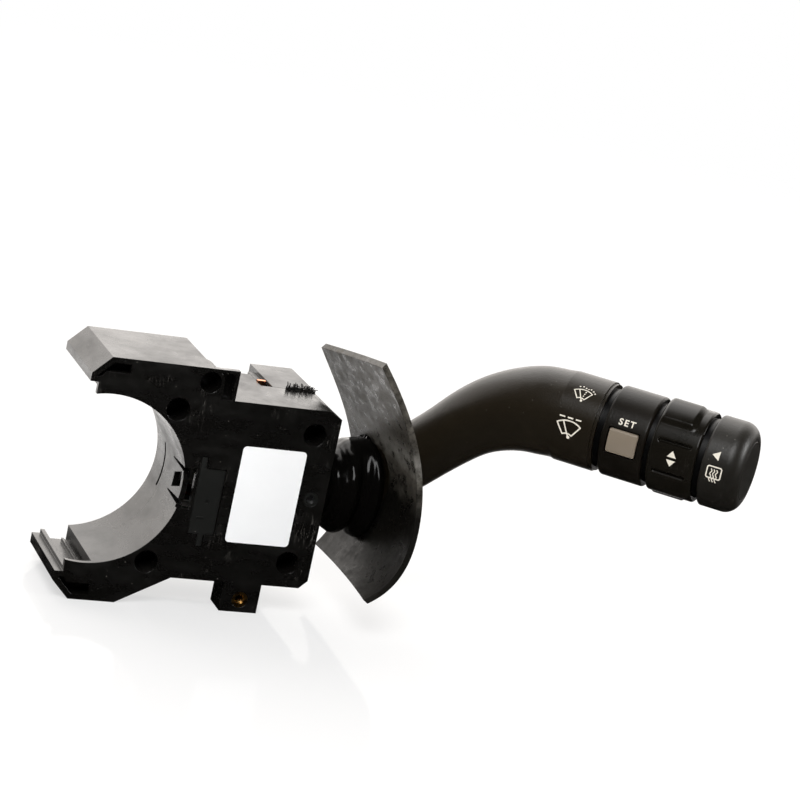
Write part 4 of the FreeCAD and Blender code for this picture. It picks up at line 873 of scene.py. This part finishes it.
# each mark's shapes, place along the knob (mm) and round it (degrees), body and scale
layOnKnob("mark_intermittent", intermittentShapes(), -16.15, -18.4, "lever", 0.89)
layOnKnob("mark_spray", sprayShapes(), -15.4, 32.1, "lever", 0.69)
layOnKnob("mark_word", wordShapes("SET", 1.85), 0.0, 25.5, "lever")
layOnKnob("mark_up", triangle(2.7, 1.9, 0), 14.9, 5.9, "ring")
layOnKnob("mark_down", triangle(2.7, 1.9, 180), 14.9, -5.9, "ring")
layOnKnob("mark_left", triangle(2.7, 2.1, 90), 26.9, 20.4, "lever")
layOnKnob("mark_demist", demistShapes(), 27.6, -0.7, "lever", 0.96)
print("marks laid on the knob")


# torn seal strip: a low ragged ridge with loose fibres

fuzz = {"cells": (90, 20), "low": 0.06, "ragged": 1.1, "lift": 0.35, "rimCells": 3,
        "coarse": 900, "coarseShare": 0.6, "fine": 2400, "fineShare": 0.4, "fineShift": (7, 3, 1),
        "perSquareMetre": 8000000.0, "length": 1.9 * mm, "thickness": 0.14 * mm, "seed": 7,
        "bend": (0.15, 0.05, 0.6), "tip": (0.6, 0.1, 0.8), "pieces": 4, "sides": 3,
        "lean": 0.9, "shortest": 0.2}


def raggedStrip():
    # on the strip's own footprint, its top torn to uneven height
    low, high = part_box("torn_seal_strip")
    low, high = Vector(low), Vector(high)
    size = high - low
    long, wide = fuzz["cells"]
    work = bmesh.new()
    top, bottom = [], []
    for row in range(wide + 1):
        for column in range(long + 1):
            x = low.x + size.x * column / long
            y = low.y + size.y * row / wide
            spot = Vector((x, y, 0))
            torn = noiseAt(spot * fuzz["coarse"]) * fuzz["coarseShare"]
            torn += noiseAt(spot * fuzz["fine"] + Vector(fuzz["fineShift"])) * fuzz["fineShare"]
            edge = eased(min(column, long - column) / fuzz["rimCells"])
            edge *= eased(min(row, wide - row) / fuzz["rimCells"])
            rise = size.z * (fuzz["low"] + fuzz["ragged"] * max(torn + fuzz["lift"], 0) * edge)
            top.append(work.verts.new((x, y, low.z + min(rise, size.z))))
            bottom.append(work.verts.new((x, y, low.z)))
    across = long + 1
    for row in range(wide):
        for column in range(long):
            corner = row * across + column
            cell = (corner, corner + 1, corner + 1 + across, corner + across)
            work.faces.new([top[index] for index in cell])
            work.faces.new([bottom[index] for index in reversed(cell)])
    rims = [(row * across + column, 1) for column in range(long) for row in (0, wide)]
    rims += [(row * across + column, across) for row in range(wide) for column in (0, long)]
    for corner, step in rims:
        work.faces.new((bottom[corner], bottom[corner + step], top[corner + step], top[corner]))
    return closedMesh(work, bpy.data.meshes.new("ragged_strip"))


def makeFuzzTree():
    inputs = (("Strip", "NodeSocketGeometry"), ("Density", "NodeSocketFloat"), ("Length", "NodeSocketFloat"),
              ("Thickness", "NodeSocketFloat"), ("Seed", "NodeSocketInt"))
    tree, start, end = startTree("sealFibres", inputs)
    points = tree.nodes.new("GeometryNodeDistributePointsOnFaces")
    tree.links.new(start.outputs["Strip"], points.inputs["Mesh"])
    tree.links.new(start.outputs["Density"], points.inputs["Density"])
    tree.links.new(start.outputs["Seed"], points.inputs["Seed"])
    fibre = tree.nodes.new("GeometryNodeCurveQuadraticBezier")
    fibre.inputs["Resolution"].default_value = fuzz["pieces"]
    fibre.inputs["Start"].default_value = (0, 0, 0)
    fibre.inputs["Middle"].default_value = fuzz["bend"]
    fibre.inputs["End"].default_value = fuzz["tip"]
    section = tree.nodes.new("GeometryNodeCurvePrimitiveCircle")
    section.inputs["Resolution"].default_value = fuzz["sides"]
    tree.links.new(calc(tree, "DIVIDE", start.outputs["Thickness"], start.outputs["Length"]),
                   section.inputs["Radius"])
    tube = tree.nodes.new("GeometryNodeCurveToMesh")
    tree.links.new(fibre.outputs[0], tube.inputs["Curve"])
    tree.links.new(section.outputs["Curve"], tube.inputs["Profile Curve"])
    tube.inputs["Fill Caps"].default_value = True
    turn = tree.nodes.new("FunctionNodeRandomValue")
    turn.data_type = "FLOAT_VECTOR"
    turn.inputs[0].default_value = (-fuzz["lean"], -fuzz["lean"], 0)
    turn.inputs[1].default_value = (fuzz["lean"], fuzz["lean"], 2 * math.pi)
    tree.links.new(start.outputs["Seed"], turn.inputs["Seed"])
    size = tree.nodes.new("FunctionNodeRandomValue")
    size.data_type = "FLOAT"
    size.inputs[2].default_value = fuzz["shortest"]
    size.inputs[3].default_value = 1.0
    tree.links.new(start.outputs["Seed"], size.inputs["Seed"])
    sized = calc(tree, "MULTIPLY", calc(tree, "POWER", size.outputs[1], 2.0), start.outputs["Length"])
    put = tree.nodes.new("GeometryNodeInstanceOnPoints")
    tree.links.new(points.outputs["Points"], put.inputs["Points"])
    tree.links.new(tube.outputs["Mesh"], put.inputs["Instance"])
    tree.links.new(turn.outputs[0], put.inputs["Rotation"])
    tree.links.new(sized, put.inputs["Scale"])
    both = tree.nodes.new("GeometryNodeJoinGeometry")
    tree.links.new(put.outputs["Instances"], both.inputs[0])
    tree.links.new(start.outputs["Strip"], both.inputs[0])
    return tree, finishTree(tree, both.outputs[0], end)


def makeFuzz():
    tree, paint = makeFuzzTree()
    values = {"Density": fuzz["perSquareMetre"], "Length": fuzz["length"], "Thickness": fuzz["thickness"],
              "Seed": fuzz["seed"]}
    mesh = runTree(tree, paint, values, "sealFibre", raggedStrip())
    newPiece("seal_fibres", mesh, "sealFibre", "housing", "torn_seal_strip")
    print("seal fibres, triangles:", sum(len(face.vertices) - 2 for face in mesh.polygons))


makeFuzz()


# thread inside the brass bush

thread = {"centre": (48.5 * mm, -32.3 * mm), "front": -15.2 * mm, "radius": 1.5 * mm, "pitch": 0.5 * mm,
          "turns": 13.0, "height": 0.17 * mm, "stepsPerTurn": 28, "sides": 4}


def makeThread():
    inputs = (("Radius", "NodeSocketFloat"), ("Pitch", "NodeSocketFloat"), ("Turns", "NodeSocketFloat"),
              ("Height", "NodeSocketFloat"), ("Mouth", "NodeSocketVector"))
    tree, start, end = startTree("bushThread", inputs)
    spiral = tree.nodes.new("GeometryNodeCurveSpiral")
    spiral.inputs["Resolution"].default_value = thread["stepsPerTurn"]
    tree.links.new(start.outputs["Turns"], spiral.inputs["Rotations"])
    tree.links.new(start.outputs["Radius"], spiral.inputs["Start Radius"])
    tree.links.new(start.outputs["Radius"], spiral.inputs["End Radius"])
    tree.links.new(calc(tree, "MULTIPLY", start.outputs["Pitch"], start.outputs["Turns"]),
                   spiral.inputs["Height"])
    section = tree.nodes.new("GeometryNodeCurvePrimitiveCircle")
    section.inputs["Resolution"].default_value = thread["sides"]
    tree.links.new(start.outputs["Height"], section.inputs["Radius"])
    tube = tree.nodes.new("GeometryNodeCurveToMesh")
    tube.inputs["Fill Caps"].default_value = True
    tree.links.new(spiral.outputs["Curve"], tube.inputs["Curve"])
    tree.links.new(section.outputs["Curve"], tube.inputs["Profile Curve"])
    move = tree.nodes.new("GeometryNodeTransform")
    move.inputs["Rotation"].default_value = (-math.pi / 2, 0, 0)
    tree.links.new(tube.outputs["Mesh"], move.inputs["Geometry"])
    tree.links.new(start.outputs["Mouth"], move.inputs["Translation"])
    paint = finishTree(tree, move.outputs["Geometry"], end)
    values = {"Radius": thread["radius"], "Pitch": thread["pitch"], "Turns": thread["turns"],
              "Height": thread["height"],
              "Mouth": (thread["centre"][0], thread["front"], thread["centre"][1])}
    newPiece("bush_thread", runTree(tree, paint, values, "brass"), "brass", "housing")


makeThread()
print("bush thread made")


# floor, light and camera

studio = {"floorSize": 6.0, "floorBelow": 0.05 * mm, "floorColour": (0.92, 0.92, 0.92), "floorRough": 0.08,
          "floorSpecular": 0.2, "seenShare": 0.30, "seenWhite": 0.60, "seenFrom": 0.25, "seenTo": 1.2,
          "darkFrom": 0.10, "darkTo": 0.03, "sideFrom": 0.26, "sideTo": 0.36,
          "darkFloor": (0.004, 0.004, 0.004), "warmWall": (1.0, 0.955, 0.91),
          "roomFrom": 0.15, "roomTo": 0.45, "frontGlow": 0.02, "backGlow": 2.4, "aimAt": (0.07, 0, 0),
          "topPower": 6.0, "topSize": 1.2, "topPlace": (0.1, 0.85, 1.15),
          "rightPower": 8.0, "rightSize": 0.3, "rightPlace": (1.15, -0.45, 0.42),
          "frontPower": 18.5, "frontSize": 0.7, "frontPlace": (-0.35, -0.85, 1.05)}
# the photograph's view: where the camera stands and its own axes
cameraView = {"place": (-198.16 * mm, -677.74 * mm, 212.50 * mm), "right": (0.9188, -0.3349, 0.2092),
              "up": (-0.1055, 0.3023, 0.9474), "lens": 115.84, "sensor": 36.0, "clipStart": 0.01}


def makeFloor():
    size = studio["floorSize"]
    mesh = bpy.data.meshes.new("studio_floor")
    level = cadBounds[0][2] - studio["floorBelow"]
    corners = [(x * size, y * size, level) for x, y in ((-1, -1), (1, -1), (1, 1), (-1, 1))]
    mesh.from_pydata(corners, [], [(0, 1, 2, 3)])
    floor = addObject("studio_floor", mesh)
    material, tree, shader = startMaterial("floorWhite")
    shader.inputs["Base Color"].default_value = (*studio["floorColour"], 1)
    shader.inputs["Roughness"].default_value = studio["floorRough"]
    shader.inputs["Specular IOR Level"].default_value = studio["floorSpecular"]
    # the unlit room in front of the table, as the glossy plastic mirrors it
    place = axesOf(tree, objectPoints(tree))
    near = spread(tree, place["Y"], studio["darkFrom"], studio["darkTo"])
    path = tree.nodes.new("ShaderNodeLightPath")
    dark = tree.nodes.new("ShaderNodeBsdfDiffuse")
    dark.inputs["Color"].default_value = (*studio["darkFloor"], 1)
    # an unlit corner to the right too
    side = spread(tree, place["X"], studio["sideFrom"], studio["sideTo"])
    mirrored = calc(tree, "MULTIPLY", calc(tree, "MAXIMUM", near, side), path.outputs["Is Glossy Ray"])
    # to the camera the floor glows a shade under white near the object, and is white further back
    far = tree.nodes.new("ShaderNodeVectorMath")
    far.operation = "LENGTH"
    tree.links.new(objectPoints(tree), far.inputs[0])
    away = spread(tree, far.outputs["Value"], studio["seenFrom"], studio["seenTo"])
    glow = tree.nodes.new("ShaderNodeEmission")
    glowShare = 1 - studio["seenShare"]
    tree.links.new(spread(tree, away, 0, 1, studio["seenWhite"] / glowShare, 1), glow.inputs["Strength"])
    share = calc(tree, "MULTIPLY", spread(tree, away, 0, 1, glowShare, 1), path.outputs["Is Camera Ray"])
    seen = tree.nodes.new("ShaderNodeMixShader")
    tree.links.new(share, seen.inputs[0])
    tree.links.new(shader.outputs[0], seen.inputs[1])
    tree.links.new(glow.outputs[0], seen.inputs[2])
    mix = tree.nodes.new("ShaderNodeMixShader")
    tree.links.new(mirrored, mix.inputs[0])
    tree.links.new(seen.outputs[0], mix.inputs[1])
    tree.links.new(dark.outputs[0], mix.inputs[2])
    tree.links.new(mix.outputs[0], tree.nodes["Material Output"].inputs["Surface"])
    floor.data.materials.append(material)


def makeWorld():
    world = bpy.data.worlds.new("studio")
    bpy.context.scene.world = world
    world.use_nodes = True
    tree = world.node_tree
    sky = tree.nodes["Background"]
    # white to the camera; as light, a bright backdrop behind the object and a dim room in front
    places = tree.nodes.new("ShaderNodeTexCoord")
    room = spread(tree, axesOf(tree, places.outputs["Generated"])["Y"], studio["roomFrom"], studio["roomTo"],
                  studio["frontGlow"], studio["backGlow"])
    path = tree.nodes.new("ShaderNodeLightPath")
    tree.links.new(calc(tree, "MAXIMUM", room, path.outputs["Is Camera Ray"]), sky.inputs["Strength"])
    tree.links.new(blendColours(tree, path.outputs["Is Camera Ray"], studio["warmWall"], (1.0, 1.0, 1.0)),
                   sky.inputs["Color"])


def addLamp(name, place, power, size):
    light = bpy.data.lights.new(name, "AREA")
    light.energy = power
    light.size = size
    lamp = addObject(name, light)
    lamp.location = place
    aim = Vector(studio["aimAt"]) - Vector(place)
    lamp.rotation_euler = aim.to_track_quat("-Z", "Y").to_euler()


def makeCamera():
    right, above = Vector(cameraView["right"]), Vector(cameraView["up"])
    back = right.cross(above)
    turn = Matrix((right, above, back)).transposed().to_4x4()
    data = bpy.data.cameras.new("camera")
    data.lens = cameraView["lens"]
    data.sensor_width = cameraView["sensor"]
    data.clip_start = cameraView["clipStart"]
    camera = addObject("camera", data)
    camera.matrix_world = Matrix.Translation(cameraView["place"]) @ turn
    bpy.context.scene.camera = camera


makeFloor()
makeWorld()
for side in ("top", "front", "right"):
    addLamp(side + "_light", studio[side + "Place"], studio[side + "Power"], studio[side + "Size"])
makeCamera()
bpy.context.scene.view_settings.view_transform = "Standard"
print("studio ready")
